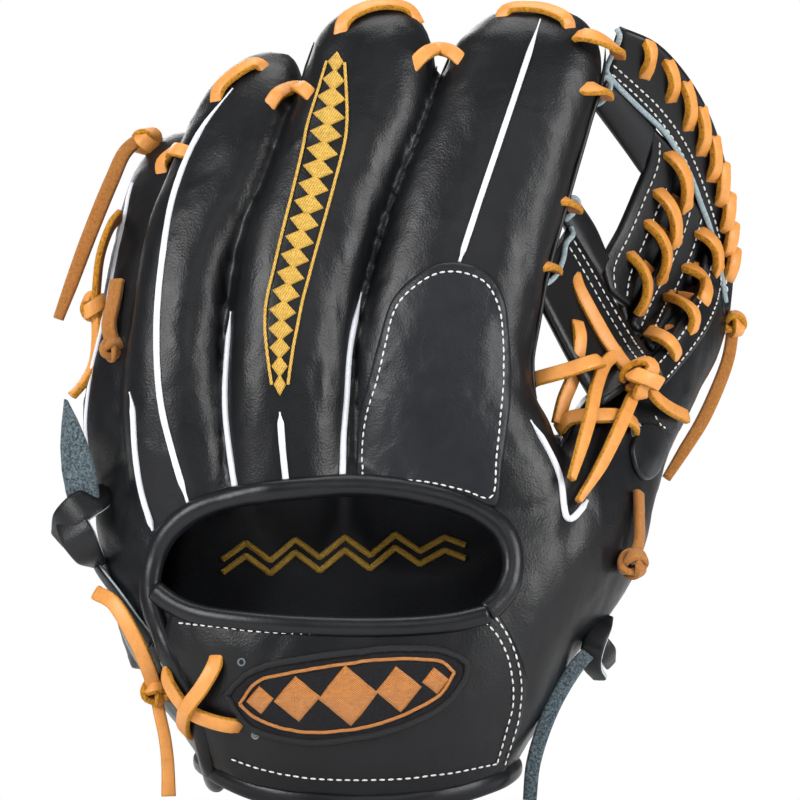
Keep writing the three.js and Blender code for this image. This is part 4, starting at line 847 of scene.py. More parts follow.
@dataclass(frozen=True)
class Hand:
    """The part of the glove under the fingers, with its palm pulled in to a pocket.

    Attributes:
        height: up to the fingers, in mm.
        left: half width on the little finger's side, in mm.
        right: half width on the thumb's side, in mm.
        back: depth to the back, in mm.
        palm: depth to the palm, in mm.
        pocket: how deep the palm is pulled in, in mm.
        lefts: share of the left along the height.
        rights: share of the right along the height.
        backs: share of the back along the height.
        palms: share of the palm along the height.
        cups: how far the sides bend to the palm along the height.
        pockets: share of the pocket along the height.
    """

    height: float = 124.8
    left: float = 87
    right: float = 106
    back: float = 45
    palm: float = 26
    pocket: float = 8
    lefts: tuple[float, ...] = (0.48, 0.56, 0.64, 0.73, 0.8, 0.87, 0.91, 0.95, 0.97, 0.99, 0.98, 0.93, 0.78)
    rights: tuple[float, ...] = (0.53, 0.585, 0.645, 0.7, 0.745, 0.79, 0.84, 0.885, 0.925, 0.94, 0.93, 0.82,
                                 0.6)
    backs: tuple[float, ...] = (0.84, 0.91, 0.955, 0.99, 1, 0.99, 0.955, 0.9, 0.82, 0.73, 0.64, 0.48, 0.26)
    palms: tuple[float, ...] = (0.77, 0.88, 0.96, 1, 1, 1, 0.99, 0.97, 0.93, 0.87, 0.79, 0.68, 0.5)
    cups: tuple[float, ...] = (0.15, 0.25, 0.36, 0.48, 0.6, 0.72, 0.83, 0.92, 1, 1, 1, 1, 1)
    pockets: tuple[float, ...] = (0.05, 0.2, 0.45, 0.75, 0.95, 1, 1, 1, 1)

    def cup(self, u: Array, share: Array) -> Array:
        """How far a place across the hand bends to the palm, in mm."""
        return np.where(u > 0, 7, 17) * np.abs(u) ** 2.2 * table_at(self.cups, share)

    def loft(self, inset: float = 0, palm_inset: float = 0, below: float = 16, above: float = 22) -> Sheet:
        """The hand's skin.

        Rings of a squared oval with four different half sizes. Each place moves to the palm
        by the cup, and on the palm's side back again by the pocket. Above the hand the
        rings shrink along a quarter circle, inside the fingers' roots.

        Args:
            inset: how far the sides and back are pulled in, in mm.
            palm_inset: how far the palm is pulled in, in mm.
            below: how far the skin runs on below the wrist, in mm.
            above: how far it runs on above the hand, in mm.

        Returns:
            A closed sheet.
        """
        crown = np.sin(np.linspace(0, np.pi / 2, 8)[1:])
        z = np.concatenate([[-below], np.linspace(0, self.height, 50), self.height + above * crown])
        size = np.concatenate([np.ones(51), np.sqrt(np.maximum(1 - crown**2, 0)) * 0.7 + 0.3 * (1 - crown)])
        share = np.clip(z / self.height, 0, 1)
        left, right, near, far = (
            (full * table_at(shares, share) - less)[:, None]
            for full, shares, less in ((self.left, self.lefts, inset), (self.right, self.rights, inset),
                                       (self.back, self.backs, inset), (self.palm, self.palms, palm_inset)))
        u, v = superellipse(110, 2.6).T
        size, share, z = size[:, None], share[:, None], z[:, None]
        dent = self.pocket * (1 - u**2) ** 2 * table_at(self.pockets, share)
        x = (right - left) / 2 + u * (right + left) / 2 * size
        y = v * np.where(v > 0, far - dent, near) * size + self.cup(u * size, share)
        return tube_sheet(np.dstack(np.broadcast_arrays(x, y, z)) * MM)

    def back_side(self, points: Array) -> Array:
        """Whether each point lies on the back side of the hand's side seam."""
        share = points[:, 2] / MM / self.height
        left, right = self.left * table_at(self.lefts, share), self.right * table_at(self.rights, share)
        u = (points[:, 0] / MM - (right - left) / 2) / ((right + left) / 2)
        return points[:, 1] / MM < self.cup(np.clip(u, -1, 1), share)


def mesh_arrays(obj: bpy.types.Object) -> Sheet:
    """The points and quads of an object with its modifiers applied; the object goes."""
    graph = bpy.context.evaluated_depsgraph_get()
    mesh = obj.evaluated_get(graph).to_mesh()
    points = np.empty(len(mesh.vertices) * 3, np.float32)
    mesh.vertices.foreach_get("co", points)
    corners = np.empty(len(mesh.loops), np.int32)
    mesh.loops.foreach_get("vertex_index", corners)
    obj.to_mesh_clear()
    data = obj.data
    bpy.data.objects.remove(obj)
    bpy.data.meshes.remove(data)
    return Sheet(points.reshape(-1, 3).astype(float), corners.reshape(-1, 4))


def fused(sheets: Sequence[Sheet], voxel: float) -> Sheet:
    """Closed sheets melted into one skin of even quads."""
    whole = join_sheets(sheets)
    obj = mesh_object("working", whole.points, whole.faces)
    remesh = obj.modifiers.new("fuse", "REMESH")
    remesh.mode = "VOXEL"
    remesh.voxel_size = voxel
    return mesh_arrays(obj)


def relaxed(sheet: Sheet, rounds: int) -> Sheet:
    """Moves each point halfway to the mean of its neighbours, and then a little further back.

    Args:
        sheet: the skin.
        rounds: how many times.

    Returns:
        The smoother skin.
    """
    start, end = np.concatenate([sheet.faces[:, [k, (k + 1) % 4]] for k in range(4)]).T
    points = sheet.points.copy()
    count = np.maximum(np.bincount(start, minlength=len(points)), 1)[:, None]
    for step in (1.0, -1.02) * rounds:
        total = np.stack([np.bincount(start, points[end, k], len(points)) for k in range(3)], axis=-1)
        points += (total / count - points) * 0.5 * step
    return Sheet(points, sheet.faces, sheet.places)


def point_normals(sheet: Sheet) -> Array:
    """Unit normals at the points of a skin, each the sum of its faces' normals."""
    corners = sheet.points[sheet.faces]
    across_face = np.cross(corners[:, 2] - corners[:, 0], corners[:, 3] - corners[:, 1])
    total = np.stack([np.bincount(sheet.faces.ravel(), np.repeat(across_face[:, k], 4), len(sheet.points))
                      for k in range(3)], axis=-1)
    return unit(total)


def ripples(points: Array, seed: int, waves: int, shortest: float, longest: float) -> Array:
    """Soft uneven height over space, from -1 to 1.

    The sum of sine waves of seeded directions and lengths, each bent by the one before.

    Args:
        points: (n, 3) places.
        seed: which set of waves.
        waves: how many.
        shortest: shortest wave, in metres.
        longest: longest wave, in metres.

    Returns:
        n heights.
    """
    pick = np.random.default_rng(seed)
    lengths = np.exp(pick.uniform(math.log(shortest), math.log(longest), waves))
    turns = unit(pick.normal(size=(waves, 3))) * (2 * np.pi / lengths)[:, None]
    shifts = pick.uniform(0, 2 * np.pi, waves)
    total = np.zeros(len(points))
    bend = np.zeros(len(points))
    for turn, shift, length in zip(turns, shifts, lengths):
        bend = np.sin(points @ turn + shift + 1.3 * bend)
        total += bend * length
    return total / np.sqrt((lengths**2).sum()) / 1.4


HEM = ((60, 690), (120, 705), (165, 728), (190, 752), (225, 772), (260, 786), (330, 797), (400, 796),
       (460, 786), (505, 772), (540, 745), (600, 700), (700, 640))
BINDING = ((216, 781), (211, 755), (203, 722), (189, 685), (172, 650), (159, 618), (152, 590), (156, 560),
           (169, 533), (197, 510), (240, 496), (300, 488), (360, 485), (420, 492), (470, 507), (503, 530),
           (512, 560), (505, 590), (485, 610))
STRAP_TOP = ((485, 612), (450, 620), (400, 624), (330, 624), (260, 620), (200, 612), (174, 601), (160, 590))
WELT_A = ((134, 405), (137, 450), (143, 490), (155, 530))
WELT_B = ((231, 325), (227, 400), (231, 445), (238, 494))
WELT_C = ((361, 293), (350, 345), (346, 400), (343, 440), (343, 490))
WELT_D = ((529, 420), (545, 446), (558, 475), (567, 520))
THUMB_SEAM = ((567, 520), (545, 535), (525, 550), (508, 562))


def hem_height(x: Array) -> Array:
    """Height of the glove's lower edge at an X."""
    table = flat_places(HEM)
    return np.interp(x, table[:, 0], table[:, 1])


class Cast:
    """Depths of a skin seen from the back over a fine grid, by laying a flat grid on it.

    The grid is pressed along Y on the skin. Where it misses, it takes the nearest depth.
    """

    def __init__(self, skin: Sheet, cell: float = 0.8 * MM) -> None:
        """Lays the grid on a skin.

        Args:
            skin: what to lay it on.
            cell: the grid's step.
        """
        self.cell = cell
        self.low = np.array([-0.105, -0.02])
        self.shape = (int(0.26 / cell), int(0.31 / cell))
        x = self.low[0] + np.arange(self.shape[0]) * cell
        z = self.low[1] + np.arange(self.shape[1]) * cell
        start = -0.3
        flat = np.stack(np.meshgrid(x, [start], z, indexing="ij"), axis=-1).reshape(-1, 3)
        target = mesh_object("working_skin", skin.points, skin.faces)
        obj = mesh_object("working", flat, grid_faces(*self.shape))
        wrap = obj.modifiers.new("lay", "SHRINKWRAP")
        wrap.target = target
        wrap.wrap_method = "PROJECT"
        wrap.use_project_y = True
        depth = mesh_arrays(obj).points[:, 1].reshape(self.shape)
        bpy.data.objects.remove(target)
        self.seen = np.abs(depth - start) > 0.01
        self.depth = self.filled(np.where(self.seen, depth, np.nan))
        self.slopes = [self.averaged(np.clip(s, -2.5, 2.5), 2) for s in np.gradient(self.depth, cell)]

    @staticmethod
    def filled(depth: Array) -> Array:
        """Spreads known depths into the gaps, one ring of cells at a time."""
        out = depth.copy()
        for _ in range(max(out.shape)):
            gap = np.isnan(out)
            if not gap.any():
                break
            padded = np.pad(out, 1, constant_values=np.nan)
            around = np.stack([padded[:-2, 1:-1], padded[2:, 1:-1], padded[1:-1, :-2], padded[1:-1, 2:]])
            known = ~np.isnan(around)
            total = np.where(known, around, 0).sum(0)
            count = known.sum(0)
            out = np.where(gap & (count > 0), total / np.maximum(count, 1), out)
        return out

    @staticmethod
    def averaged(values: Array, rounds: int) -> Array:
        """Averages a grid with its neighbours."""
        out = values
        for _ in range(rounds):
            padded = np.pad(out, 1, mode="edge")
            beside = padded[:-2, 1:-1] + padded[2:, 1:-1] + padded[1:-1, :-2] + padded[1:-1, 2:]
            out = (beside + out * 2) / 6
        return out

    def read(self, grid: Array, places: Array) -> Array:
        """Values of a grid at (x, z) places, between its four nearest cells."""
        spot = np.clip((places - self.low) / self.cell, 0, np.array(self.shape) - 1.001)
        cell = spot.astype(int)
        share = spot - cell
        i, j, s, t = cell[:, 0], cell[:, 1], share[:, 0], share[:, 1]
        return ((grid[i, j] * (1 - s) + grid[i + 1, j] * s) * (1 - t)
                + (grid[i, j + 1] * (1 - s) + grid[i + 1, j + 1] * s) * t)

    def normals(self, places: Array) -> Array:
        """Directions out of the leather at (x, z) places."""
        slope_x, slope_z = (self.read(s, places) for s in self.slopes)
        return unit(np.column_stack([slope_x, np.full(len(places), -1.0), slope_z]))

    def lay(self, places: Array, lift: Array | float = 0.0) -> tuple[Array, Array]:
        """Lays (x, z) places on the leather.

        Args:
            places: (n, 2) places.
            lift: how far out of the leather, in metres.

        Returns:
            (n, 3) points and their normals.
        """
        normals = self.normals(places)
        base = np.column_stack([places[:, 0], self.read(self.depth, places), places[:, 1]])
        return base + normals * np.broadcast_to(np.asarray(lift, float), len(places))[:, None], normals

    def lay_rings(self, rings: Array, lifts: Array) -> tuple[Array, Array]:
        """Lays rings of (x, z) places on the leather, each ring at its own height.

        Args:
            rings: (r, n, 2) places.
            lifts: how far each ring lies out of the leather, in metres.

        Returns:
            (r, n, 3) points and their normals.
        """
        points, normals = self.lay(rings.reshape(-1, 2), np.repeat(lifts, rings.shape[1]))
        return points.reshape(*rings.shape[:2], 3), normals.reshape(*rings.shape[:2], 3)


WEB_SPOTS = ((612, 50, 22), (668, 85, 37), (705, 150, 53), (727, 215, 68), (735, 300, 80),
             (548, 240, 20), (585, 280, 27), (610, 325, 32), (640, 375, 36), (665, 420, 40))


class WebFace:
    """The curved face of the web, as a depth for each place seen from the back.

    The depth is a quadratic in the column and the row that fits ten measured places.
    """

    def __init__(self) -> None:
        """Fits the quadratic."""
        table = np.array(WEB_SPOTS, float)
        self.terms = np.linalg.lstsq(self.powers(table[:, 0], table[:, 1]), table[:, 2], rcond=None)[0]

    @staticmethod
    def powers(column: Array, row: Array) -> Array:
        """One, the column, the row and their products."""
        return np.column_stack([np.ones(len(column)), column, row, column**2, column * row, row**2])

    def at(self, column: Array, row: Array) -> Array:
        """Points on the web, in metres."""
        return np.column_stack([across(column), self.powers(column, row) @ self.terms * MM, up(row)])


WEB = WebFace()


@dataclass
class Shell:
    """The glove's leather skin: its back panels, its palm and the lining inside.

    Attributes:
        voxel: grain of the skin's quads, in metres.
        wall: from the outer skin to the lining, in mm.
        crease: depth of the soft wrinkles, in metres.
        hand: the hand part.
    """

    voxel: float = 1.7 * MM
    wall: float = 4.4
    crease: float = 0.34 * MM
    hand: Hand = field(default_factory=Hand)

    def build(self) -> None:
        """Melts the lofts together, wrinkles them, lays a cast on the back and melts the lining's lofts."""
        self.skin = self.wrinkled(relaxed(fused([self.hand.loft()] + [s.loft() for s in STALLS.values()],
                                                self.voxel), 5))
        self.tree = BVHTree.FromPolygons(self.skin.points.tolist(), self.skin.faces.tolist())
        self.back = Cast(self.skin)
        self.inner = relaxed(fused([self.hand.loft(self.wall, 8.6, below=18, above=4)]
                                   + [s.loft(-self.wall, 12) for s in STALLS.values()], self.voxel * 1.3), 5)
        log.info("skin: %d points, lining: %d points", len(self.skin.points), len(self.inner.points))

    def struck(self, starts: Array, ways: Array) -> Array:
        """Where rays first meet the skin, as (n, 3) points, with no number where they miss it."""
        hits = [self.tree.ray_cast(Vector(start), Vector(way))[0] for start, way in zip(starts, ways)]
        return np.array([(np.nan,) * 3 if hit is None else tuple(hit) for hit in hits])

    def laid(self, places: Places, lift: float, step: float = 1.2 * MM) -> tuple[Array, Array]:
        """A smooth route through (column, row) places, laid on the back at a height.

        Args:
            places: what it runs through.
            lift: how far out of the leather, in metres.
            step: distance between the points that come back.

        Returns:
            (n, 3) points and their normals.
        """
        return self.back.lay(smooth_route(flat_places(places), step), lift)

    def wrinkled(self, sheet: Sheet) -> Sheet:
        """Moves the skin in and out by soft ripples."""
        normals = point_normals(sheet)
        broad = ripples(sheet.points * np.array([1, 1, 0.45]), 11, 26, 14 * MM, 40 * MM)
        fine = ripples(sheet.points, 23, 26, 5 * MM, 10 * MM)
        return Sheet(sheet.points + normals * ((broad + 0.12 * fine) * self.crease)[:, None], sheet.faces)

    def sorted_faces(self, sheet: Sheet, margin: float) -> tuple[Array, Array, Array]:
        """Sorts the faces of the skin or the lining.

        Args:
            sheet: the skin or the lining.
            margin: how far the hem is lowered, in metres.

        Returns:
            Truth values of the faces outside the openings and of those on the back, and the
            name of the nearest stall.
        """
        middles = sheet.points[sheet.faces].mean(1)
        flat = middles[:, [0, 2]]
        near, side = (np.stack(rows) for rows in zip(*(s.nearness(middles) for s in STALLS.values())))
        owner = near.argmin(0)
        on_back = self.hand.back_side(middles)
        in_hand = (middles[:, 2] < 0.112) & (near.min(0) > 0.95)
        back = np.where(in_hand, on_back, side[owner, np.arange(len(owner))] < 0)
        opening = inside(flat, flat_places(BINDING[5:] + STRAP_TOP)) & on_back
        above_hem = flat[:, 1] > hem_height(flat[:, 0]) - margin
        return above_hem & ~opening, back, np.array(list(STALLS))[owner]

    def fields(self, flat: Array) -> dict[str, Array]:
        """The plots of the back below the fingers, between the welts' lines."""
        a, b, c, d, seam = (flat_places(r) for r in (WELT_A, WELT_B, WELT_C, WELT_D, THUMB_SEAM))
        return {
            "thumb": self.right_of(flat, np.vstack([d, seam[1:], flat_places(((500, 600), (503, 800)))])),
            "index": self.right_of(flat, np.vstack([c, flat_places(((343, 800),))])),
            "middle": self.right_of(flat, np.vstack([b, flat_places(((238, 800),))])),
            "ring": self.right_of(flat, np.vstack([a, flat_places(((190, 590), (215, 800)))])),
        }

    @staticmethod
    def right_of(flat: Array, line: Array) -> Array:
        """Whether each place lies on the thumb's side of a line that runs down the back."""
        order = np.argsort(line[:, 1])
        return flat[:, 0] > np.interp(flat[:, 1], line[order, 1], line[order, 0])

    def dress(self) -> None:
        """Makes the panels, each with the whole skin's normals so that no seam shows."""
        kept, back, owner = self.sorted_faces(self.skin, 3 * MM)
        middles = self.skin.points[self.skin.faces].mean(1)
        low = (middles[:, 2] < 0.118) & back
        plots = self.fields(middles[:, [0, 2]])
        for name, plot in reversed(plots.items()):
            owner = np.where(low & plot, name, owner)
        owner = np.where(low & ~plots["ring"], "pinky", owner)
        for name in STALLS:
            self.panel(f"{name}_back", self.skin, kept & back & (owner == name), BLACK_LEATHER,
                       (f"{name}_back_panel",))
        self.panel("palm_leather", self.skin, kept & ~back, BLACK_LEATHER,
                   ("palm_shell", "thumb_front_panel"))
        kept, _, _ = self.sorted_faces(self.inner, 1 * MM)
        self.panel("lining", Sheet(self.inner.points, self.inner.faces[:, ::-1]), kept, LINING,
                   ("palm_lining",))

    @staticmethod
    def panel(name: str, sheet: Sheet, pick: Array, finish: Finish, nodes: Sequence[str]) -> None:
        """Cuts some faces out of a skin as a piece of their own.

        Args:
            name: the piece's name.
            sheet: the whole skin.
            pick: which faces.
            finish: their leather.
            nodes: CAD nodes that they stand for.
        """
        faces = sheet.faces[pick]
        used, small = np.unique(faces, return_inverse=True)
        normals = point_normals(sheet)[used]
        put(name, Sheet(sheet.points[used], small.reshape(-1, 4)), finish, Body.BOTH, nodes, normals)


def wound(centre: Array, size: float, axis: Array, turns: float) -> Array:
    """The middle line of a lace wound in a knot.

    A circle round the axis whose radius and height both swing three times in two turns,
    so that the windings cross over and under each other.

    Args:
        centre: middle of the knot.
        size: its width in metres.
        axis: the direction that it is wound round, at length one.
        turns: how often it goes round.

    Returns:
        (n, 3) points.
    """
    first = unit(np.cross(axis, [0.3, 0.9, 0.1] if abs(axis[1]) < 0.8 else [1.0, 0.1, 0.2]))
    t = np.linspace(0, turns, 70)[:, None] * 2 * np.pi
    radius = size * (0.23 + 0.08 * np.cos(1.5 * t))
    return (centre + radius * np.cos(t) * first + radius * np.sin(t) * np.cross(axis, first)
            + size * 0.22 * np.sin(1.5 * t) * axis)


def carried(path: Array, first: Array) -> Array:
    """Normals carried along a path with the least turning, from a first one.

    Args:
        path: (n, 3) points.
        first: the direction wanted at the start.

    Returns:
        (n, 3) normals square to the path.
    """
    along = unit(np.gradient(path, axis=0))
    out = np.empty_like(path)
    out[0] = unit(first - along[0] * (first @ along[0]))
    for i in range(1, len(path)):
        out[i] = unit(out[i - 1] - along[i] * (out[i - 1] @ along[i]))
    return out


@dataclass
class Lace:
    """A flat lace cut from hide.

    Attributes:
        width: across, in metres.
        thickness: through, in metres.
        finish: its material; not used.
    """

    width: float = 5.4 * MM
    thickness: float = 2.7 * MM
    finish: Finish = LACE

    def strip(self, route: Array, face: Array | Sequence[float] = TILTED, width: float | None = None,
              step: float = 1.2 * MM, widths: Sequence[float] = (1.0, 1.0)) -> Sheet:
        """A lace along a route.

        Args:
            route: points in the air.
            face: the direction that its face looks in, or each point's own.
            width: another width, in metres.
            step: distance between its rings.
            widths: share of the width at evenly spaced places along it.

        Returns:
            The lace's sheet.
        """
        face = np.asarray(face, float)
        if face.ndim == 2:
            both = smooth_route(np.hstack([route, face * 0.002]), step)
            path, normals = both[:, :3], unit(both[:, 3:])
        else:
            path = smooth_route(route, step)
            middle = len(path) // 2
            normals = np.vstack([carried(path[middle::-1], face)[::-1], carried(path[middle:], face)[1:]])
        shares = np.interp(np.linspace(0, 1, len(path)), np.linspace(0, 1, len(widths)), widths)
        return sweep(path, normals, (width or self.width) * shares, self.thickness, 4.0, 16)

    def knot(self, centre: Array, size: float, axis: Sequence[float], turns: float) -> Sheet:
        """A lace wound on itself, its face turned outwards."""
        axis = unit(np.asarray(axis, float))
        path = wound(centre, size, axis, turns)
        outward = path - centre
        outward = unit(outward - axis * (outward @ axis)[:, None] * 0.6)
        return sweep(path, outward, min(self.width, size * 0.44), self.thickness * 0.9, 4.0, 16)


def rope(path: Array, normals: Array, width: float) -> Sheet:
    """A rope of close slanting threads: a tube whose size swells along a helix."""
    base = sweep(path, normals, width, width * 0.8, 2.0, 14)
    rings = base.points.reshape(-1, 14, 3)
    distance = np.resize(np.concatenate([[0], lengths_along(path), [0] * 3]), len(rings))
    wave = 1 + 0.1 * np.sin(distance[:, None] / (width * 0.55) * 2 * np.pi + turns_round(14))
    middles = rings.mean(1, keepdims=True)
    return Sheet((middles + (rings - middles) * wave[..., None]).reshape(-1, 3), base.faces, base.places)


@dataclass
class Trim:
    """Rolls, welts, strap, pad and patch that lie on the back of the glove.

    Attributes:
        shell: the skin that carries them.
        roll_width: width of the rolled binding, in metres.
        roll_depth: its depth, in metres.
        strap_thickness: of the strap's leather, in metres.
    """

    shell: Shell
    roll_width: float = 8.0 * MM
    roll_depth: float = 6.6 * MM
    strap_thickness: float = 2.6 * MM

    def rolls(self) -> None:
        """The binding round the opening, the strap's top roll and the rolled lower edge."""
        path, normals = self.shell.laid(BINDING, 0.5 * MM)
        path = smoothed(path, 12)
        size = 1 + 0.05 * ripples(path, 5, 8, 10 * MM, 30 * MM)
        tube = sweep(path, smoothed(normals, 12), self.roll_width * size, self.roll_depth * size, 2.1, 24)
        put("binding", tube, ROLLED_LEATHER, Body.BOTH, ("wrist_binding",))
        path, normals = self.shell.laid(STRAP_TOP, 1.0 * MM)
        path = smoothed(path, 12)
        tube = sweep(path, smoothed(normals, 12), 7.4 * MM, 6.6 * MM, 2.1, 24)
        put("strap_roll", tube, ROLLED_LEATHER, Body.BOTH, ("strap_top_roll",))
        path = self.hem_path()
        outward = unit(np.cross(unit(np.gradient(path, axis=0)), [0.0, 0.0, 1.0]))
        if (outward * (path - path.mean(0))).sum() < 0:
            outward = -outward
        tube = sweep(path, outward, 8.2 * MM, 6.4 * MM, 2.2, 20)
        put("hem_roll", tube, ROLLED_LEATHER, Body.BOTH)

    def hem_path(self) -> Array:
        """The line round the hand where the skin ends, found by rays from the middle."""
        angle = np.linspace(0, 2 * np.pi, 150)
        ways = np.column_stack([np.cos(angle), np.sin(angle), np.zeros(len(angle))])
        height = np.full(len(angle), 0.01)
        for _ in range(7):
            starts = np.column_stack([np.full(len(angle), 0.016), np.zeros(len(angle)), height])
            hit = self.shell.struck(starts, ways)
            hit = np.where(np.isnan(hit), starts + ways * 0.08, hit)
            height = height * 0.4 + (hem_height(hit[:, 0]) - 0.5 * MM) * 0.6
        loop = np.vstack([hit[-9:-1], hit, hit[1:9]])
        loop[:, 2] = np.concatenate([height[-9:-1], height, height[1:9]])
        return smoothed(loop, 10)[8:-8]

    def strap(self) -> None:
        """The wrist strap: a sheet laid over the wrist, with its cut edge and its rows of stitches.

        Its grid runs between four edges: each place is the mean of the edge to edge lines
        both ways, less the part that the corners count twice.
        """
        left = flat_places(((178, 604), (170, 640), (188, 690), (205, 728), (220, 762)))
        right = flat_places(((489, 603), (507, 632), (521, 672), (516, 715), (500, 764)))
        top = flat_places(((172, 602), (200, 613), (260, 621), (330, 625), (400, 625), (450, 621),
                           (489, 603)))
        bottom = flat_places(((220, 762), (260, 778), (330, 788), (400, 788), (460, 778), (500, 764)))
        rows, columns = 46, 74
        a, b = resampled(smooth_route(left), rows), resampled(smooth_route(right), rows)
        c, d = resampled(smooth_route(top), columns), resampled(smooth_route(bottom), columns)
        s, t = np.linspace(0, 1, rows)[:, None, None], np.linspace(0, 1, columns)[None, :, None]
        corners = (c[0] * (1 - s) * (1 - t) + c[-1] * (1 - s) * t + d[0] * s * (1 - t) + d[-1] * s * t)
        flat = a[:, None] * (1 - t) + b[:, None] * t + c[None] * (1 - s) + d[None] * s - corners
        points, normals = self.shell.back.lay(flat.reshape(-1, 2), 2.2 * MM)
        wave = ripples(points, 41, 12, 14 * MM, 40 * MM) * 0.22 * MM
        points = (points + normals * wave[:, None]).reshape(rows, columns, 3)
        put("strap", slab(points, self.strap_thickness), STRAP_LEATHER, Body.BOTH, ("wrist_strap",))
        rows_of = (((474, 612), (493, 632), (505, 660), (507, 700), (491, 758)),
                   ((485, 607), (502, 630), (514, 664), (514, 706), (498, 760)),
                   ((184, 621), (215, 624), (260, 629), (300, 631), (324, 631)),
                   ((236, 752), (270, 763), (320, 771), (400, 771), (450, 765), (492, 757)))
        stitches = [stitch_row(*self.shell.laid(row, 2.55 * MM)) for row in rows_of]
        put("strap_stitches", join_sheets(stitches), STITCH, Body.BOTH)

    def binding_stitches(self) -> None:
        """White stitches beside the binding on the thumb's side."""
        row = self.shell.laid(((428, 478), (455, 489), (480, 501), (499, 518), (511, 538)), 0.35 * MM)
        put("binding_stitches", stitch_row(*row), STITCH, Body.BOTH)

    def welts(self) -> None:
        """White welts: rounded strips that thin out at their upper ends."""
        table = {
            "welt_pinky_ring": (((131, 392),) + WELT_A, 2.0),
            "welt_ring_ridge": (((232, 87), (200, 130), (175, 190), (163, 260), (158, 330), (162, 400),
                                 (175, 455), (190, 503)), 1.9),
            "welt_ring_middle": (((232, 312),) + WELT_B[1:], 2.1),
            "welt_middle_short": (((281, 412), (284, 450), (288, 488)), 2.0),
            "welt_middle_index": (WELT_C, 2.0),
            "welt_index_ridge": (((541, 18), (522, 75), (500, 140), (478, 205), (459, 263)), 1.8),
            "welt_thumb_crotch": (WELT_D + ((577, 512), (586, 500)), 2.0),
        }
        for name, (places, width) in table.items():
            path, normals = self.shell.laid(places, 0.25 * MM, 1.0 * MM)
            share = np.linspace(0, 1, len(path))
            size = np.clip(share / 0.14, 0.25, 1) * np.clip((1 - share) / 0.05, 0.5, 1) * width * MM
            size = size * 1.15 * (1 + 0.03 * ripples(path, 3, 8, 5 * MM, 14 * MM))
            put(name.replace("welt_", "white_welt_"), sweep(smoothed(path, 4), normals, size, size * 0.85,
                                                            2.8, 14),
                WELT_LEATHER, Body.BOTH, (name,))
        outside = PINKY.spine(np.linspace(0.02, 0.86, 90)) + np.array([-60.0, -3.0, 0.0]) * MM
        hits = self.shell.struck(outside, np.tile([1.0, 0.0, 0.0], (len(outside), 1)))
        side = smoothed(hits[~np.isnan(hits[:, 0])], 8)
        put("white_welt_side", sweep(side, np.tile([-1.0, -0.3, 0.0], (len(side), 1)), 1.8 * MM, 1.8 * MM,
                                     2.2, 12),
            WELT_LEATHER, Body.HAND)

    def side_piping(self) -> None:
        """Thin black piping down the sides of the stalls, where back and front are sewn."""
        spans = {"index": ((-1, 0.16, 0.9), (1, 0.2, 0.92)), "middle": ((-1, 0.2, 0.9), (1, 0.22, 0.9)),
                 "ring": ((-1, 0.22, 0.9), (1, 0.25, 0.88)), "pinky": ((1, 0.25, 0.9),),
                 "thumb": ((1, 0.0, 0.9), (-1, 0.35, 0.9))}
        for name, rows in spans.items():
            tubes = []
            for side, start, end in rows:
                s = np.linspace(start, end, 90)
                stall = STALLS[name]
                path = stall.spine(s) + stall.axes(s)[1] * ((stall.half_sizes(s)[0] + 0.35 * MM) * side)[:,
                                                                                                         None]
                share = np.linspace(0, 1, len(path))
                size = np.minimum(1, np.minimum(share, 1 - share) * 12 + 0.2) * 1.9 * MM
                normals = np.tile([float(side), 0.01, 0.0], (len(path), 1))
                tubes.append(sweep(path, normals, size, size, 2.0, 10))
            put(f"{name}_side_piping", join_sheets(tubes), ROLLED_LEATHER, Body.BOTH)

    def pad(self) -> None:
        """The sewn pad on the back of the index finger, with its rows of stitches."""
        outline = ((357, 486), (361, 420), (370, 383), (381, 340), (393, 303), (410, 283), (437, 267),
                   (463, 266), (487, 276), (502, 301), (507, 340), (508, 400), (500, 465), (493, 505),
                   (470, 499), (420, 489), (375, 487))
        edge = smooth_route(flat_places(outline + outline[:1]), 1.0 * MM)
        pad = self.raised(edge, 1.5 * MM, 0.9 * MM, 51, 30)
        put("finger_pad", pad, PAD_LEATHER, Body.BOTH, ("finger_pad",))
        inset = edge + unit(edge.mean(0) - edge) * 3.0 * MM
        row, out = self.shell.back.lay(smoothed(inset, 4), 1.75 * MM)
        end = int(len(row) * 0.985)
        put("pad_stitches", stitch_row(row[:end], out[:end]), STITCH, Body.BOTH)

    def raised(self, edge: Array, height: float, swell: float, seed: int, rings: int) -> Sheet:
        """A pad on the leather inside a closed outline.

        Rings shrink from the outline to its middle. The height rises with the square root
        of the way in, and the rim runs down into the leather.

        Args:
            edge: (n, 2) closed outline.
            height: at the rim, in metres.
            swell: extra height in the middle, in metres.
            seed: of its wrinkles.
            rings: how many rings.

        Returns:
            The pad.
        """
        edge = edge[:-1]
        way = np.linspace(0, 1, rings)
        lifts = height + swell * np.sqrt(way)
        lifts[0] *= 0.86
        cast = self.shell.back
        points, normals = cast.lay_rings(drawn_in(edge, 1 - way**1.1 * 0.985), lifts)
        waves = ripples(points.reshape(-1, 3), seed, 22, 9 * MM, 30 * MM).reshape(rings, -1, 1)
        rim, _ = cast.lay_rings(drawn_in(edge, np.full(2, 1.012)), np.array([-0.9 * MM, height * 0.45]))
        return tube_sheet(np.concatenate([rim, points + normals * waves * 0.16 * MM]))

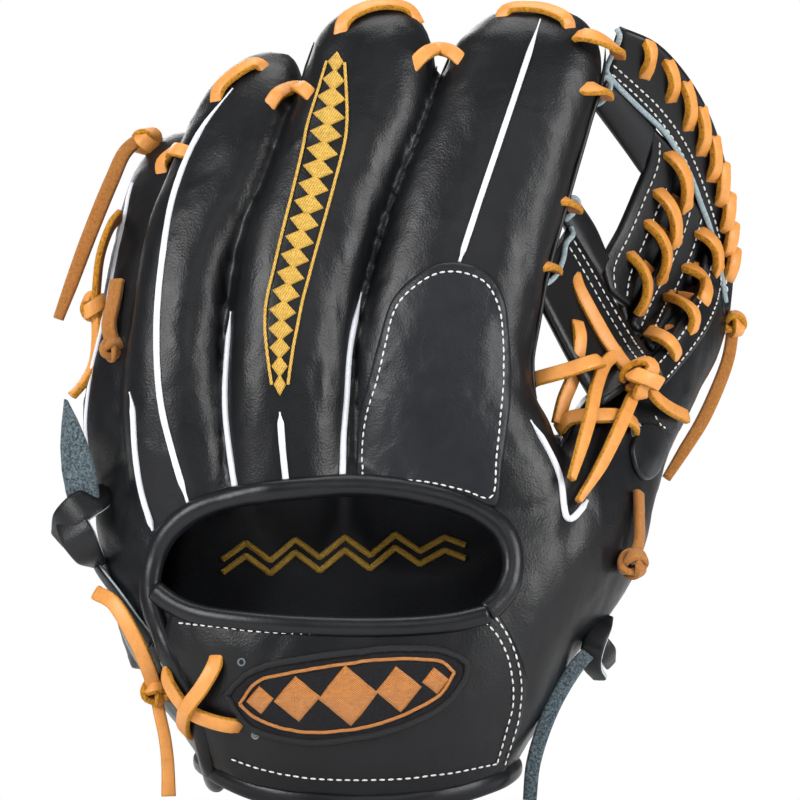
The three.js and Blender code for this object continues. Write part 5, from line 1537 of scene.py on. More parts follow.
    def patch(self) -> None:
        """The strap's patch: felt with a rope border, and a chain of lozenges in copper satin."""
        outline = ((232, 690), (256, 667), (300, 656), (352, 649), (404, 645), (446, 649), (464, 661),
                   (450, 692), (408, 718), (355, 732), (300, 735), (256, 720))
        edge = smooth_route(flat_places(outline + outline[:1]), 1.0 * MM)
        base = self.raised(edge, 3.4 * MM, 0.1 * MM, 61, 14)
        put("patch_base", base, PATCH_FELT, Body.HAND, ("strap_patch",))
        border = self.shell.back.lay(np.vstack([edge, edge[1:3]]), 3.4 * MM)
        put("patch_border", rope(*border, 2.6 * MM), PATCH_ROPE, Body.HAND)
        sheets = []
        for middle, size in (((265, 694), 13), ((300, 693), 22), ((349, 690), 29), ((398, 684), 22),
                             ((433, 676), 13)):
            lozenge = np.array([(-1.0, 0.1), (-0.1, -1.0), (1.0, -0.1), (0.1, 1.0)]) * size + np.array(middle)
            sheets.append(self.satin_shape(lozenge, 3.6 * MM, 1.1 * MM))
        put("patch_lozenges", join_sheets(sheets), COPPER, Body.HAND, ("patch_embroidery",))
        lines = {"patch_line": ((246, 698), (262, 711), (300, 724), (355, 722), (404, 708), (438, 688),
                                (451, 668)),
                 "patch_line_upper": ((246, 698), (262, 677), (300, 667), (352, 659), (404, 655), (440, 658),
                                      (451, 668))}
        for name, places in lines.items():
            put(name, rope(*self.shell.laid(places, 3.7 * MM), 1.2 * MM), COPPER, Body.HAND)

    def satin_shape(self, corners: Array, lift: float, swell: float) -> Sheet:
        """A raised shape of satin stitches inside corners given in pixels."""
        edge = flat_places(resampled(np.vstack([corners, corners[:1]]), 49)[:-1])
        way = np.linspace(0, 1, 7)
        lifts = lift + swell * np.sin(way * np.pi / 2) ** 0.7
        points, _ = self.shell.back.lay_rings(drawn_in(edge, 1 - way * 0.97), lifts)
        skirt, _ = self.shell.back.lay(edge, lift - 1.2 * MM)
        return tube_sheet(np.concatenate([skirt[None], points]))

    def finger_work(self) -> None:
        """A column of gold lozenges sewn on the middle finger, generic in design."""
        sheets = []
        spine = smooth_route(((336, 62), (331, 104), (324, 146), (314, 188), (303, 230), (293, 270),
                              (284, 310),
                              (281, 350), (281, 385)), 18.5)
        share = np.linspace(0, 1, len(spine))
        sizes = np.interp(share, [0, 0.15, 0.8, 1], [8.0, 16.5, 13.5, 6.0])
        along = unit(np.gradient(spine, axis=0))
        side = np.column_stack([along[:, 1], -along[:, 0]])
        for middle, way, beside, size in zip(spine, along, side, sizes):
            corners = np.array([-way * 11.2, beside * size, way * 11.2, -beside * size]) + middle
            sheets.append(self.satin_shape(corners, 0.4 * MM, 0.9 * MM))
        put("finger_lozenges", join_sheets(sheets), GOLD, Body.HAND, ("finger_embroidery",))
        for name, offset in (("left", -20.0), ("right", 20.0)):
            line = spine + side * offset * np.interp(share, [0, 0.2, 0.8, 1], [0.45, 1, 0.85, 0.4])[:, None]
            path = self.shell.laid(line, 0.5 * MM, 0.8 * MM)
            put(f"finger_line_{name}", rope(*path, 1.1 * MM), GOLD, Body.HAND)


@dataclass
class Lacing:
    """Every lace of the hand: fingertips, strap, knots, ties and free ends.

    Attributes:
        shell: the skin that carries it.
        lace: the lace that it is made of.
    """

    shell: Shell
    lace: Lace = field(default_factory=Lace)

    def on_skin(self, *places: Sequence[float]) -> tuple[Array, Array]:
        """Points and normals for (column, row, lift in mm) places on the back."""
        table = np.array(places, float)
        return self.shell.back.lay(flat_places(table[:, :2]), table[:, 2] * MM)

    def tails(self) -> None:
        """The free lace ends, each one listed with its route."""
        table = {
            "pinky_tip_tail": ("tail_pinky_tip", Body.HAND, LACE_SUEDE, (0.35, 0.1, 1),
                               (0.86, 0.95, 1, 1, 0.98, 0.9, 0.7),
                               spots((147, 138, 52), (137, 136, 51), (122, 147, 48), (108, 177, 44),
                                     (85, 235, 38),
                                     (67, 285, 34), (55, 318, 32))),
            "thumb_tip_tail": ("tail_thumb_tip", Body.THUMB, LACE_SUEDE, (0.2, -1, 0),
                               (0.8, 0.85, 0.9, 0.9, 0.82, 0.6),
                               spots((741, 322, 80), (740, 338, 80), (735, 362, 78), (711, 418, 72),
                                     (690, 452, 68),
                                     (672, 480, 65))),
            "heel_tail": ("tail_heel", Body.HAND, LACE, (0, -1, 0), (0.8, 0.8, 0.82, 0.86, 0.95),
                          spots((158, 697, -13), (161, 712, -14), (166, 735, -15), (169, 760, -15),
                                (170, 794, -15))),
            "right_leather_tail": ("tail_black_right", Body.THUMB, GREY_SUEDE, (0, -1, 0),
                                   (0.9, 1, 1, 1, 0.98, 0.94, 0.9),
                                   spots((594, 650, 0), (582, 658, -6), (568, 677, -9), (553, 703, -12),
                                         (540, 735, -13), (532, 765, -14), (529, 798, -14))),
            "web_tail_left": ("tail_web_left", Body.THUMB, LACE, (0.62, -0.78, 0.1),
                              (0.9, 0.95, 0.98, 0.9, 0.55),
                              spots((622, 352, 22), (607, 362, 14), (597, 385, 4), (590, 415, -6),
                                    (580, 448, -15),
                                    (570, 478, -23))),
            "web_tail_right": ("tail_web_right", Body.THUMB, LACE, (0.66, -0.74, 0.1),
                               (0.9, 0.95, 0.98, 0.85, 0.4),
                               spots((640, 380, 26), (632, 400, 10), (618, 430, -2), (600, 465, -12),
                                     (577, 500, -22))),
        }
        for node, (name, body, finish, face, widths, route) in table.items():
            piece = put(name, self.lace.strip(route, face, widths=widths), finish,
                        body, (node,))

    def fingertips(self) -> None:
        """Laces over the fingertips, from hole to hole."""
        table = {
            "tip_lace_pinky": ((158, 172, -2), (161, 162, 1.2), (170, 155, 1.8), (180, 151, 1.6),
                               (187, 151, -1)),
            "tip_lace_ring": ((213, 101, -2), (219, 90, 1.2), (238, 73, 1.7), (256, 64, 1.4), (266, 65, -2)),
            "tip_lace_ring_middle": ((268, 106, -2), (276, 95, 1.2), (292, 89, 1.7), (306, 90, 1.2),
                                     (312, 96, -2)),
            "tip_lace_middle": ((338, 34, -2), (345, 22, 1.2), (362, 11, 1.7), (385, 6, 1.7), (407, 9, 1.2),
                                (421, 19, -2)),
            "tip_lace_middle_index": ((413, 67, -2), (421, 55, 1.2), (440, 50, 1.7), (456, 53, 1.2),
                                      (462, 60, -2)),
            "tip_lace_index": ((500, 15, -2), (508, 10, 1.2), (535, 9, 1.7), (553, 13, 1.6), (566, 20, 1.2),
                               (572, 27, -2)),
        }
        for node, places in table.items():
            route, normals = self.on_skin(*places)
            normals = unit(normals + normals.mean(0) * 1.5)
            put(node.replace("tip_lace", "top_lace"), self.lace.strip(route, normals, width=5.2 * MM), LACE,
                Body.HAND,
                (node,))

    def crossing(self) -> None:
        """The crossed lace at the strap's end, with its four punched holes."""
        first, out_first = self.on_skin((170, 661, 0), (177, 669, 4.2), (187, 684, 6.2), (203, 702, 6.4),
                                        (222, 712, 5.6),
                                        (238, 717, 4.4), (244, 721, 1))
        second, out_second = self.on_skin((221, 652, 1), (221, 662, 4.4), (214, 680, 7.2), (205, 698, 9.2),
                                          (198, 712, 6.8),
                                          (195, 722, 4.2), (193, 730, 1))
        crossed = join_sheets([self.lace.strip(first, out_first), self.lace.strip(second, out_second)])
        put("cross_lace", crossed, LACE, Body.HAND, ("strap_cross_lace",))
        for index, place in enumerate(((246, 658, 2.6), (260, 729, 2.6), (171, 659, 2.6), (194, 727, 2.6))):
            centre, normal = self.on_skin(place)
            put(f"punched_hole_{index + 1}", hole_ring(centre[0], normal[0], 1.15 * MM), EYELET, Body.HAND)

    def knots(self) -> None:
        """Knots and the laces that run into them."""
        lace = self.lace
        at = spots((143, 137, 52))[0]
        sheet = join_sheets([lace.knot(at, 12 * MM, (1, 0.3, 0.2), 2.4),
                             lace.strip(spots((146, 137, 52), (152, 139, 54), (158, 141, 56)))])
        put("knot_pinky_tip", sheet, LACE, Body.HAND, ("pinky_tip_knot",))
        at = spots((92, 306, 27))[0]
        sheet = join_sheets([
            lace.knot(at, 12 * MM, (0.2, 0.2, 1), 2.2),
            lace.strip(spots((116, 214, 36), (108, 225, 30), (98, 255, 26), (93, 300, 27)),
                       (-1.0, 0.2, 0.2)),
            lace.strip(spots((93, 306, 27), (95, 330, 25), (92, 362, 22), (82, 382, 20), (70, 396, 19)),
                       (-0.9, -0.5, 0.0))])
        put("knot_pinky_side", sheet, LACE, Body.HAND, ("pinky_side_knot",))
        top, _ = self.on_skin((119, 281, 1.6), (117, 300, 2.0), (114, 330, 3.0))
        sheet = join_sheets([lace.knot(spots((112, 349, 12))[0], 11 * MM, (0.3, 1, 0.2), 2.0),
                             lace.strip(np.vstack([top, spots((113, 345, 12))]),
                                        (-0.5, -1.0, 0.0))])
        put("knot_pinky_suede", sheet, LACE_SUEDE, Body.HAND, ("pinky_suede_knot",))
        inside_end, _ = self.on_skin((171, 694, -1))
        sheet = join_sheets([
            lace.knot(spots((157, 689, -14))[0], 13 * MM, (0.3, 1, 0.6), 2.3),
            lace.strip(spots((98, 592, -11), (116, 602, -20), (136, 634, -24), (150, 666, -20),
                             (157, 690, -14)),
                       (-0.5, -1.0, 0.4)),
            lace.strip(np.vstack([spots((160, 690, -13)), inside_end]))])
        put("knot_heel", sheet, LACE, Body.HAND, ("heel_knot",))
        sheet = join_sheets([lace.knot(spots((742, 322, 80))[0], 12 * MM, (0.3, 1, 0), 2.2),
                             lace.strip(spots((740, 322, 80), (733, 322, 80), (726, 322, 80)))])
        put("knot_thumb_tip", sheet, LACE, Body.THUMB, ("thumb_tip_knot",))
        route, out = self.on_skin((635, 493, 1.6), (633, 515, 2.5), (629, 540, 4), (622, 556, 5))
        centre, _ = self.on_skin((620, 561, 5))
        sheet = join_sheets([lace.knot(centre[0], 14 * MM, (0.1, 1, 0.2), 2.3), lace.strip(route, out)])
        put("knot_thumb_side", sheet, LACE_SUEDE, Body.THUMB, ("thumb_side_knot",))

    def leather_ties(self) -> None:
        """The two black leather ties, broad folds with pale cut edges."""
        broad = Lace(12 * MM, 2.4 * MM, TIE_LEATHER)
        centre = spots((82, 527, 4))[0]
        tail = broad.strip(spots((66, 400, 2), (73, 438, -3), (81, 480, -3), (86, 512, 1)),
                           (-0.4, -1.0, 0.0),
                           widths=(0.06, 0.5, 0.85, 1.05, 1.05, 0.9))
        put("tie_left_tail", tail, GREY_SUEDE, Body.HAND)
        folds = join_sheets([
            broad.strip(spots((66, 508, 4), (71, 520, -4), (80, 538, -8), (90, 556, -5), (98, 564, 4)),
                        (-0.25, -1.0, -0.15), widths=(0.7, 1, 1.1, 0.85, 0.4)),
            broad.strip(spots((106, 490, 6), (95, 499, -3), (80, 508, -6), (66, 522, -4), (60, 540, 3)),
                        (-0.2, -1.0, 0.35), widths=(0.5, 0.9, 1.0, 0.95, 0.75))])
        put("tie_left", folds, TIE_LEATHER, Body.HAND, ("left_leather_tie",))
        route, out = self.on_skin((92, 552, 2.0), (104, 566, 2.4), (124, 594, 2.0), (143, 622, 1.6),
                                  (156, 641, 0.5))
        put("tie_left_strip", Lace(4.4 * MM, 2.0 * MM).strip(route, out), TIE_LEATHER, Body.HAND)
        folds = join_sheets([
            broad.strip(spots((607, 618, 6), (601, 628, -2), (592, 648, -5), (592, 666, 0), (600, 678, 6)),
                        (-0.2, -1.0, 0.1), widths=(0.4, 0.6, 0.7, 0.62, 0.45)),
            broad.strip(spots((588, 636, 6), (596, 640, -4), (606, 652, -3), (610, 664, 5)),
                        (0.1, -1.0, 0.3),
                        widths=(0.4, 0.6, 0.62, 0.4))])
        put("tie_right", folds, TIE_LEATHER, Body.THUMB, ("right_leather_tie",))


def hole_ring(centre: Array, normal: Array, radius: float) -> Sheet:
    """The pressed rim of a punched hole: a low ring with a dark dish inside."""
    first = unit(np.cross(normal, [0.2, 0.1, 1.0]))
    second = np.cross(normal, first)
    turn = turns_round(28)[:, None]
    circle = np.cos(turn) * first + np.sin(turn) * second
    size = np.array([1.32, 1.22, 1.02, 0.86, 0.72])[:, None, None] * radius
    lift = np.array([-0.5, 0.1, 0.35, 0.1, -0.4])[:, None, None] * MM
    return tube_sheet(centre + circle[None] * size + normal * lift)


RIM_EDGE = ((622, 29), (660, 46), (700, 90), (725, 140), (738, 190), (742, 240), (742, 275), (739, 308))
RIM_INNER = ((610, 70), (655, 115), (683, 150), (705, 195), (722, 240), (731, 290), (733, 312))
RIM_CROSSINGS = (((650, 41), (653, 54), (647, 72)), ((669, 58), (677, 77), (674, 95)),
                 ((688, 79), (695, 103), (692, 123)),
                 ((705, 104), (710, 129), (706, 148)), ((719, 133), (722, 157), (717, 174)),
                 ((730, 160), (730, 184), (727, 199)), ((737, 191), (736, 212), (732, 226)),
                 ((741, 221), (739, 238), (735, 250)), ((743, 247), (741, 263), (736, 275)))
OUTER_CROSSINGS = (((671, 149), (690, 173), (690, 205)), ((660, 187), (679, 212), (679, 242)),
                   ((650, 219), (671, 247), (664, 280)), ((632, 252), (651, 280), (642, 313)))
INNER_CROSSINGS = (((704, 228), (723, 244), (724, 269)), ((690, 264), (711, 277), (708, 300)),
                   ((674, 295), (697, 310), (695, 330)), ((653, 332), (672, 341), (679, 356)))


@dataclass
class Web:
    """The laced web between thumb and index finger.

    Attributes:
        shell: the skin beside it.
        thickness: of its leather, in metres.
        lace: the lace of its rows.
    """

    shell: Shell
    thickness: float = 3.4 * MM
    lace: Lace = field(default_factory=lambda: Lace(5.4 * MM, 3.3 * MM))

    def at(self, *places: Sequence[float]) -> Array:
        """Places on the web, which rides over the thumb's end where that is nearer.

        Args:
            places: (column, row) or (column, row, lift in mm).

        Returns:
            (n, 3) points.
        """
        lift = np.array([p[2] if len(p) > 2 else 0.0 for p in places]) * MM
        points = WEB.at(*np.array([(p[0], p[1]) for p in places], float).T)
        flat = points[:, [0, 2]]
        cast = self.shell.back
        skin = cast.read(cast.depth, flat) - self.thickness - 0.3 * MM
        seen = cast.read(cast.averaged(cast.seen.astype(float), 4), flat)
        near_thumb = np.clip((flat[:, 0] - 84 * MM) / (8 * MM), 0, 1)
        near_thumb *= np.clip((200 * MM - flat[:, 1]) / (12 * MM), 0, 1)
        rise = np.maximum(points[:, 1] - skin, 0) * seen * near_thumb
        points[:, 1] -= rise + lift
        return points

    def face_of(self, left: Sequence, right: Sequence, bulge: float = 0.0,
                nearer: tuple[float, float] = (0.0, 0.0)) -> Array:
        """A grid on the web between two edges.

        Args:
            left: (column, row) places of one edge.
            right: places of the other.
            bulge: height of its crown, half a sine wave across, in mm.
            nearer: how far its left and right edges stand out of the web, in mm.

        Returns:
            (rows, columns, 3) points.
        """
        start, end = (resampled(smooth_route(edge, 3.0), 41)[:, None] for edge in (left, right))
        share = np.linspace(0, 1, 13)
        grid = start * (1 - share[:, None]) + end * share[:, None]
        lift = np.abs(np.sin(share * np.pi)) ** 0.8 * bulge + nearer[0] * (1 - share) + nearer[1] * share
        table = np.dstack([grid, np.broadcast_to(lift, grid.shape[:2])])
        return self.at(*table.reshape(-1, 3)).reshape(41, 13, 3)

    @staticmethod
    def row_on(grid: Array, across_share: float, start: float = 0.04, end: float = 0.96) -> Sheet:
        """Stitches along a grid, at a share of its width."""
        spot = across_share * (grid.shape[1] - 1)
        k = int(spot)
        line = grid[:, k] * (1 - spot + k) + grid[:, min(k + 1, grid.shape[1] - 1)] * (spot - k)
        normals = grid_normals(grid)[:, k]
        first, last = int(start * len(line)), int(end * len(line))
        return stitch_row(line[first:last] + normals[first:last] * 0.25 * MM, normals[first:last])

    def panels(self) -> None:
        """The web's panels and their rows of white stitches."""
        table = {
            "web_rim_band": (RIM_INNER, RIM_EDGE, 0.0, (0, 0), ()),
            "web_upper_roll": (((592, 102), (620, 138), (645, 171)), ((612, 76), (638, 100), (660, 124)),
                               3.0, (-1, -1), ()),
            "web_post_left": (((653, 124), (655, 150), (640, 190), (625, 225), (607, 262), (612, 288)),
                              ((688, 156), (678, 187), (666, 216), (653, 247), (641, 277), (634, 304)), 0.9,
                              (-0.6, -0.6),
                              ((0.28, 0.04, 0.98), (0.76, 0.22, 0.98))),
            "web_post_middle": (((692, 186), (683, 220), (668, 256), (650, 290), (636, 322)),
                                ((713, 217), (703, 252), (687, 288), (669, 320), (657, 347)), 0.7,
                                (-0.8, -0.8),
                                ((0.3, 0.04, 0.98), (0.78, 0.04, 0.98))),
            "web_post_right": (((714, 250), (704, 282), (689, 312), (672, 338), (655, 358)),
                               ((733, 276), (725, 305), (711, 332), (691, 358), (668, 384)), 0.6,
                               (-0.8, -0.4),
                               ((0.3, 0.04, 0.98), (0.86, 0.04, 0.98))),
            "web_lower_roll": (((564, 220), (580, 246), (602, 277)), ((580, 198), (598, 225), (612, 257)),
                               2.4, (2, 0), ()),
            "web_lower_band": (((536, 284), (555, 320), (572, 352), (588, 380), (600, 400)),
                               ((573, 227), (594, 261), (614, 295), (636, 330), (659, 364)), 1.0, (9, 3.4),
                               ((0.79, 0.05, 0.97), (0.91, 0.05, 0.97))),
        }
        rows_of = []
        for name, (left, right, bulge, nearer, rows) in table.items():
            grid = self.face_of(left, right, bulge, nearer)
            thick = self.thickness * (1.4 if name.endswith("_roll") else 1)
            finish = ROLLED_LEATHER if name.endswith("_roll") else BLACK_LEATHER
            put(name.replace("web_", "panel_"), slab(grid, thick), finish, Body.THUMB, (name,))
            rows_of += [self.row_on(grid, *row) for row in rows]
        for row in (((614, 62), (640, 84), (663, 105), (690, 140), (711, 186), (727, 236), (736, 290)),
                    ((613, 71), (636, 90), (659, 112), (685, 147), (706, 192), (722, 241), (731, 288))):
            path = smooth_route(self.at(*((c, r, 0.3) for c, r in row)), 1 * MM)
            rows_of.append(stitch_row(path, np.tile(OUT, (len(path), 1))))
        put("web_stitches", join_sheets(rows_of), STITCH, Body.THUMB)
        behind = self.face_of(((660, 130), (660, 160), (648, 195), (634, 230), (622, 262), (632, 300),
                               (652, 345)),
                              ((676, 142), (702, 180), (719, 216), (731, 256), (732, 292), (717, 330),
                               (690, 372)))
        behind = behind - grid_normals(behind) * (self.thickness + 0.6 * MM)
        put("web_backing", slab(behind, 2.0 * MM), BLACK_LEATHER, Body.THUMB)

    def cut_edges(self) -> None:
        """The pale cut edges of the panels, seen where the leather turns over."""
        routes = (
            ((618, 27, 0), (621, 34, 1), (617, 46, 1.6), (611, 58, 1.4), (608, 68, 0.8), (613, 76, 0.3),
             (636, 99, 0),
             (655, 116, 0), (668, 128, 0), (683, 149, 0), (697, 175, 0), (707, 200, 0), (716, 222, 0),
             (723, 245, 0),
             (730, 275, 0), (734, 300, 0)),
            ((600, 80, 4), (607, 75, 4.6), (612, 80, 4.4), (609, 92, 3.6), (602, 100, 2.6), (592, 104, 1.4)),
            ((571, 196, 6), (577, 197, 6.4), (580, 203, 5.6), (575, 211, 4.6), (566, 219, 3.2)),
            ((572, 226, 3.0), (574, 233, 4.6), (567, 243, 6.4), (564, 258, 7.6), (557, 274, 9.0),
             (547, 283, 10),
             (536, 285, 9.6)),
        )
        sheets = []
        for route in routes:
            path = smooth_route(self.at(*route), 0.8 * MM)
            sheets.append(sweep(path, np.tile(OUT, (len(path), 1)), 2.0 * MM, 2.2 * MM, 2.6, 12))
        put("web_cut_edges", join_sheets(sheets), CUT_EDGE, Body.THUMB)

    def spiral(self, crossings: Sequence, hump: float, width: float, lean: Sequence[float]) -> Sheet:
        """One lace that crosses the leather again and again.

        Each crossing comes up through a hole or over the edge, arches to its end, dives
        through the leather and slants back behind it. The lace's face looks away from the
        middle line that it winds about.

        Args:
            crossings: start, top and end places of each.
            hump: height of an arch, in mm.
            width: the lace's width, in metres.
            lean: what is added to its facing on the arches, so that one cut edge shows.

        Returns:
            The lace.
        """
        deep = self.thickness / MM
        route, core = [], []
        for index, crossing in enumerate(crossings):
            start, top, end = (np.array(p, float) for p in crossing)
            middle = (start + end) / 2
            pull = 2 * top - middle
            for t in (0.0, 0.1, 0.28, 0.5, 0.72, 0.9, 1.0):
                place = start * (1 - t) ** 2 + pull * 2 * t * (1 - t) + end * t**2
                route.append((*place, (hump + deep / 2) * math.sin(t * math.pi) ** 0.7 - deep / 2))
                core.append((*middle, -deep / 2))
            if index + 1 < len(crossings):
                later = np.array(crossings[index + 1], float)
                route.append((*((end + later[0]) / 2), -deep - 2.6))
                core.append((*((middle + (later[0] + later[2]) / 2) / 2), -deep / 2))
        points, middles = self.at(*route), self.at(*core)
        front = np.clip((middles[:, 1] - points[:, 1]) / (3 * MM), 0, 1)[:, None]
        outward = unit(points - middles) + front * np.array(lean, float)
        return self.lace.strip(points, unit(outward), width=width, step=0.7 * MM)

    def row_laces(self) -> None:
        """The lace over the rim and the two rows of laces across the posts."""
        table = {
            "web_rim_lace": ("rim_laces", RIM_CROSSINGS, 3.0, 5.0 * MM, (0.62, 0.0, 0.2)),
            "web_row_lace_outer": ("row_laces_outer", OUTER_CROSSINGS, 5.0, 5.4 * MM, (0.22, 0.0, 0.2)),
            "web_row_lace_inner": ("row_laces_inner", INNER_CROSSINGS, 4.6, 5.4 * MM, (0.15, 0.0, 0.3)),
        }
        for node, (name, crossings, hump, width, lean) in table.items():
            put(name, self.spiral(crossings, hump, width, lean), LACE, Body.THUMB, (node,))

    def ties(self) -> None:
        """The two ties between the web and the index finger."""
        table = {
            "web_tie_upper": ((620, 54, 24), (617, 47, 17), (607, 41, 12), (595, 36, 9), (583, 34, 9),
                              (574, 42, 18),
                              (568, 64, 18), (573, 84, 14), (584, 88, 8), (596, 88, 8), (604, 90, 14),
                              (608, 95, 24)),
            "web_tie_lower": ((577, 209, 20), (571, 203, 9), (561, 199, 2), (551, 198, 1), (541, 206, 8),
                              (528, 232, 7),
                              (524, 256, 1), (532, 265, -4), (543, 265, -3), (551, 266, 3), (556, 271, 12)),
        }
        for node, route in table.items():
            face = np.array([(0.0, -0.72, 0.7)] * 5 + [(-0.9, -0.3, 0.4)] * 2 + [(0.0, -0.72,
                                                                                  0.7)] * (len(route) - 7))
            put(node.replace("web_tie", "tie_lace"), Lace().strip(spots(*route), face, width=5.6 * MM), LACE,
                Body.HAND,
                (node,))

    def crotch(self) -> None:
        """The web knot, the laces in the crotch and the loop over the thumb's root."""
        lace = Lace()
        raw = self.at((576, 273, 4), (580, 288, 7.5), (592, 312, 9), (608, 340, 9), (622, 360, 9.5),
                      (634, 374, 9))
        knot = raw[-1] + np.array([3.0, -1.0, -1.5]) * MM
        end = self.at((648, 384, 8), (656, 396, 7), (668, 406, 6), (690, 417, 5))
        sheet = join_sheets([
            Lace(5.6 * MM, 3.0 * MM).knot(knot, 19 * MM, (0.75, 0.5, 0.45), 2.6),
            lace.strip(raw, width=5.4 * MM, widths=(0.75, 1, 1.05, 1, 0.95)),
            lace.strip(end, width=5.2 * MM)])
        put("knot_web", sheet, LACE, Body.THUMB, ("web_knot",))
        level = lace.strip(spots((506, 391, 17), (531, 383, 5), (536, 379, 0), (550, 375, -2),
                                 (568, 370, -1), (586, 364, 0), (597, 361, 4),
                                 (601, 362, 12)), (0.1, -1.0, 0.5))
        down = lace.strip(spots((577, 322, 10), (580, 335, 7), (578, 355, 5), (573, 378, 6), (564, 400, 3),
                                (558, 424, 1)),
                          (0.7, -1.0, 0.1))
        low, _ = self.shell.back.lay(flat_places(((575, 429), (597, 424), (618, 421), (631, 427),
                                                  (638, 433))),
                                     np.array([5, 4.6, 3.4, 2.4, -1.5]) * MM)
        low = lace.strip(np.vstack([spots((558, 430, 2)), low]), (0.1, -1.0, 0.5))
        put("crotch_laces", join_sheets([level, down, low]), LACE, Body.THUMB, ("crotch_lace",))
        centre, normal = self.shell.back.lay(flat_places(((638, 432),)), 0.4 * MM)
        put("crotch_hole", hole_ring(centre[0], normal[0], 2.8 * MM), CUT_EDGE, Body.THUMB)
        outline = smooth_route(flat_places(((634, 436), (643, 425), (654, 424), (663, 433), (665, 447),
                                            (662, 462),
                                            (655, 475), (645, 481), (636, 474), (631, 460), (630, 447),
                                            (634, 436))),
                               1 * MM)[:-1]
        way = np.linspace(0, 1, 12)
        lifts = (1.6 + 1.6 * np.sin(way * np.pi / 2)) * MM
        points, _ = self.shell.back.lay_rings(drawn_in(outline, 1 - way * 0.98), lifts)
        skirt, _ = self.shell.back.lay(outline, -0.5 * MM)
        flap = tube_sheet(np.concatenate([skirt[None], points]))
        put("thumb_flap", flap, ROLLED_LEATHER, Body.THUMB, ("thumb_loop",))
        row = self.shell.laid(((655, 414), (661, 424), (668, 429)), 0.4 * MM, 1.5 * MM)
        put("flap_stitches", stitch_row(*row), STITCH, Body.THUMB)


@dataclass
class Inside:
    """What is seen in the opening: the felt pad under the lining, and the lining's sewing.

    Attributes:
        shell: the skin and lining.
    """

    shell: Shell

    def front_of_lining(self) -> Cast:
        """A cast of the lining's palm side, seen from the back through the opening."""
        middles = self.shell.inner.points[self.shell.inner.faces].mean(1)
        palm = ~self.shell.hand.back_side(middles) & (middles[:, 2] < 0.14)
        return Cast(Sheet(self.shell.inner.points, self.shell.inner.faces[palm]), 1.6 * MM)

    def dress(self) -> None:
        """The sewn zigzag on the lining, and the pad between lining and palm."""
        cast = self.front_of_lining()
        zigzag = ((222, 560), (246, 543), (270, 561), (295, 540), (320, 558), (345, 537), (370, 556),
                  (395, 535),
                  (420, 552), (445, 538), (466, 546))
        flat = np.array(zigzag, float)
        sheets = []
        for offset in (0, 13):
            places = resampled(np.column_stack([across(flat[:, 0]), up(flat[:, 1] + offset)]), 150)
            path, normals = cast.lay(places, 0.5 * MM)
            sheets.append(rope(path, normals, 2.2 * MM))
        put("lining_zigzag", join_sheets(sheets), LINING_GOLD, Body.HAND, ("lining_embroidery",))
        outline = smooth_route(flat_places(((200, 470), (315, 462), (430, 470), (442, 560), (400, 640),
                                            (315, 655),
                                            (230, 640), (180, 560), (200, 470))), 2 * MM)[:-1]
        way = np.linspace(0, 1, 12)
        rings = drawn_in(outline, 1 - way * 0.98)
        swell = (1 - np.sin(way * np.pi / 2)) * MM
        near, _ = cast.lay_rings(rings, -1.6 * MM - swell)
        far, _ = cast.lay_rings(rings[::-1], swell[::-1] - 3.6 * MM)
        pad = put("felt_pad", tube_sheet(np.concatenate([near[::-1], far[::-1]])), PAD_FELT, Body.HAND,
                  ("palm_pad",))


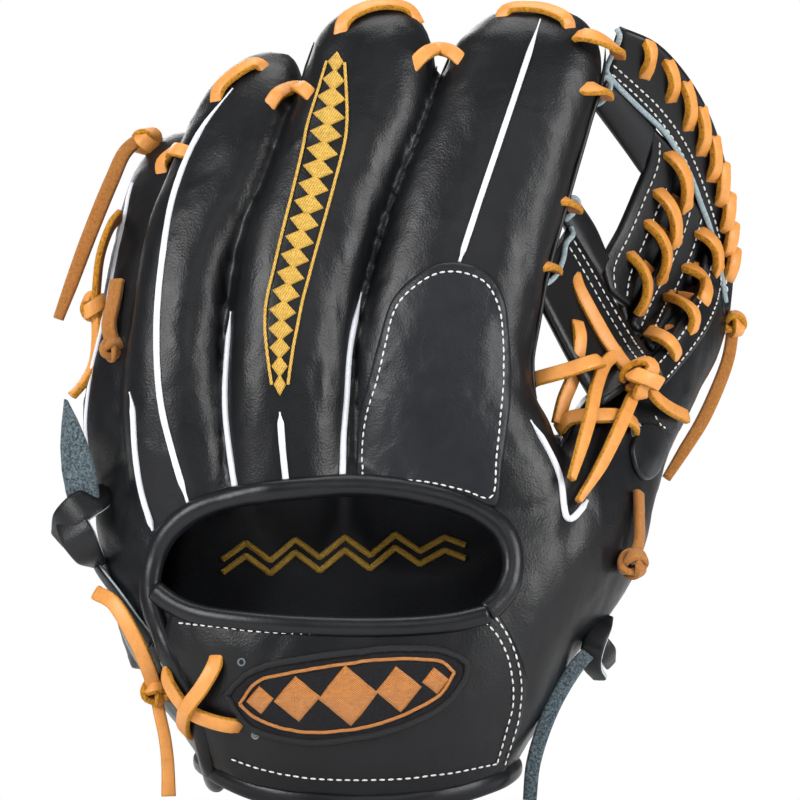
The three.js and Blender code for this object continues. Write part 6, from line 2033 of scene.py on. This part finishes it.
@dataclass
class Studio:
    """The floor, backdrop, lamps and camera.

    Attributes:
        floor: height of the floor, in metres.
    """

    floor: float

    def camera(self) -> None:
        """A long lens square to the back of the glove."""
        data = bpy.data.cameras.new("camera")
        data.sensor_width = 36
        data.lens = 386
        data.clip_end = 20
        obj = linked("camera", data)
        obj.location = (21 * MM, -3.0, 136.5 * MM)
        obj.rotation_euler = (math.radians(90), 0, 0)
        bpy.context.scene.camera = obj

    def lamp(self, name: str, place: Sequence[float], size: float, power: float) -> None:
        """A soft square lamp that looks at the glove.

        Args:
            name: the lamp's name.
            place: where it stands.
            size: its side in metres.
            power: in watts.
        """
        data = bpy.data.lights.new(name, "AREA")
        data.shape = "SQUARE"
        data.size = size
        data.energy = power
        obj = linked(name, data)
        obj.location = place
        aim = Vector((0.02, 0.02, 0.14)) - Vector(place)
        obj.rotation_euler = aim.to_track_quat("-Z", "Y").to_euler()

    def backdrop(self) -> None:
        """A round pale floor, white to the camera."""
        paper = bpy.data.materials.new("pale_paper")
        w = Wiring(paper)
        w.settle(Base_Color=w.blend(w.noise(60, 4, 0.6), (0.86, 0.86, 0.86, 1), (0.9, 0.9, 0.9, 1)),
                 Roughness=0.9)
        glow = w.node("ShaderNodeEmission", Strength=1.0, Color=(1, 1, 1, 1))
        mix = w.node("ShaderNodeMixShader")
        for target, source in zip(mix.inputs, (w.to_camera(), w.shader.outputs[0], glow.outputs[0])):
            w.feed(target, source)
        w.feed(w.tree.nodes["Material Output"].inputs["Surface"], mix.outputs[0])
        turn = np.linspace(0, 2 * np.pi, 97)[:-1]
        reach = np.array([0.0, 0.4, 1.2, 4.0, 9.0])[:, None]
        points = np.dstack(np.broadcast_arrays(reach * np.cos(turn), reach * np.sin(turn), self.floor))
        obj = mesh_object("paper", points, grid_faces(5, 96, around=True))
        obj.data.materials.append(paper)

    def build(self) -> None:
        """The lamps, the paper and a plain white world."""
        scene = bpy.context.scene
        scene.view_settings.view_transform = "Standard"
        world = bpy.data.worlds.new("white_world")
        scene.world = world
        w = Wiring(world, "Background")
        level = w.ramp(w.to_camera(), 0, 1, 0.22, 1.0)
        w.settle(Color=(1, 1, 1, 1), Strength=level)
        self.backdrop()
        for name, place, size, power in (("left", (-1.2, -1.0, 0.9), 0.8, 30),
                                         ("right", (1.3, -0.8, 0.6), 0.8, 24),
                                         ("top", (0.1, 0.2, 1.6), 1.0, 16),
                                         ("front", (0.3, -1.9, 1.3), 1.0, 7),
                                         ("behind", (-0.4, 1.6, 0.9), 1.0, 14)):
            self.lamp(f"lamp_{name}", place, size, power)


def main() -> None:
    """Builds the camera and cords, then the glove from skin to trim, then the studio."""
    logging.basicConfig(level=logging.INFO, format="%(name)s: %(message)s")
    studio = Studio(floor=float(CAD_BOX[0][2]) - 0.5 * MM)
    studio.camera()
    shell = Shell()
    lacing = Lacing(shell)
    lacing.tails()
    shell.build()
    shell.dress()
    trim = Trim(shell)
    for step in (trim.rolls, trim.strap, trim.binding_stitches, trim.welts, trim.side_piping, trim.pad,
                 trim.patch,
                 trim.finger_work, lacing.fingertips, lacing.crossing, lacing.knots, lacing.leather_ties):
        step()
    web = Web(shell)
    for step in (web.panels, web.cut_edges, web.row_laces, web.ties, web.crotch):
        step()
    Inside(shell).dress()
    studio.build()


if __name__ == "__main__":
    main()
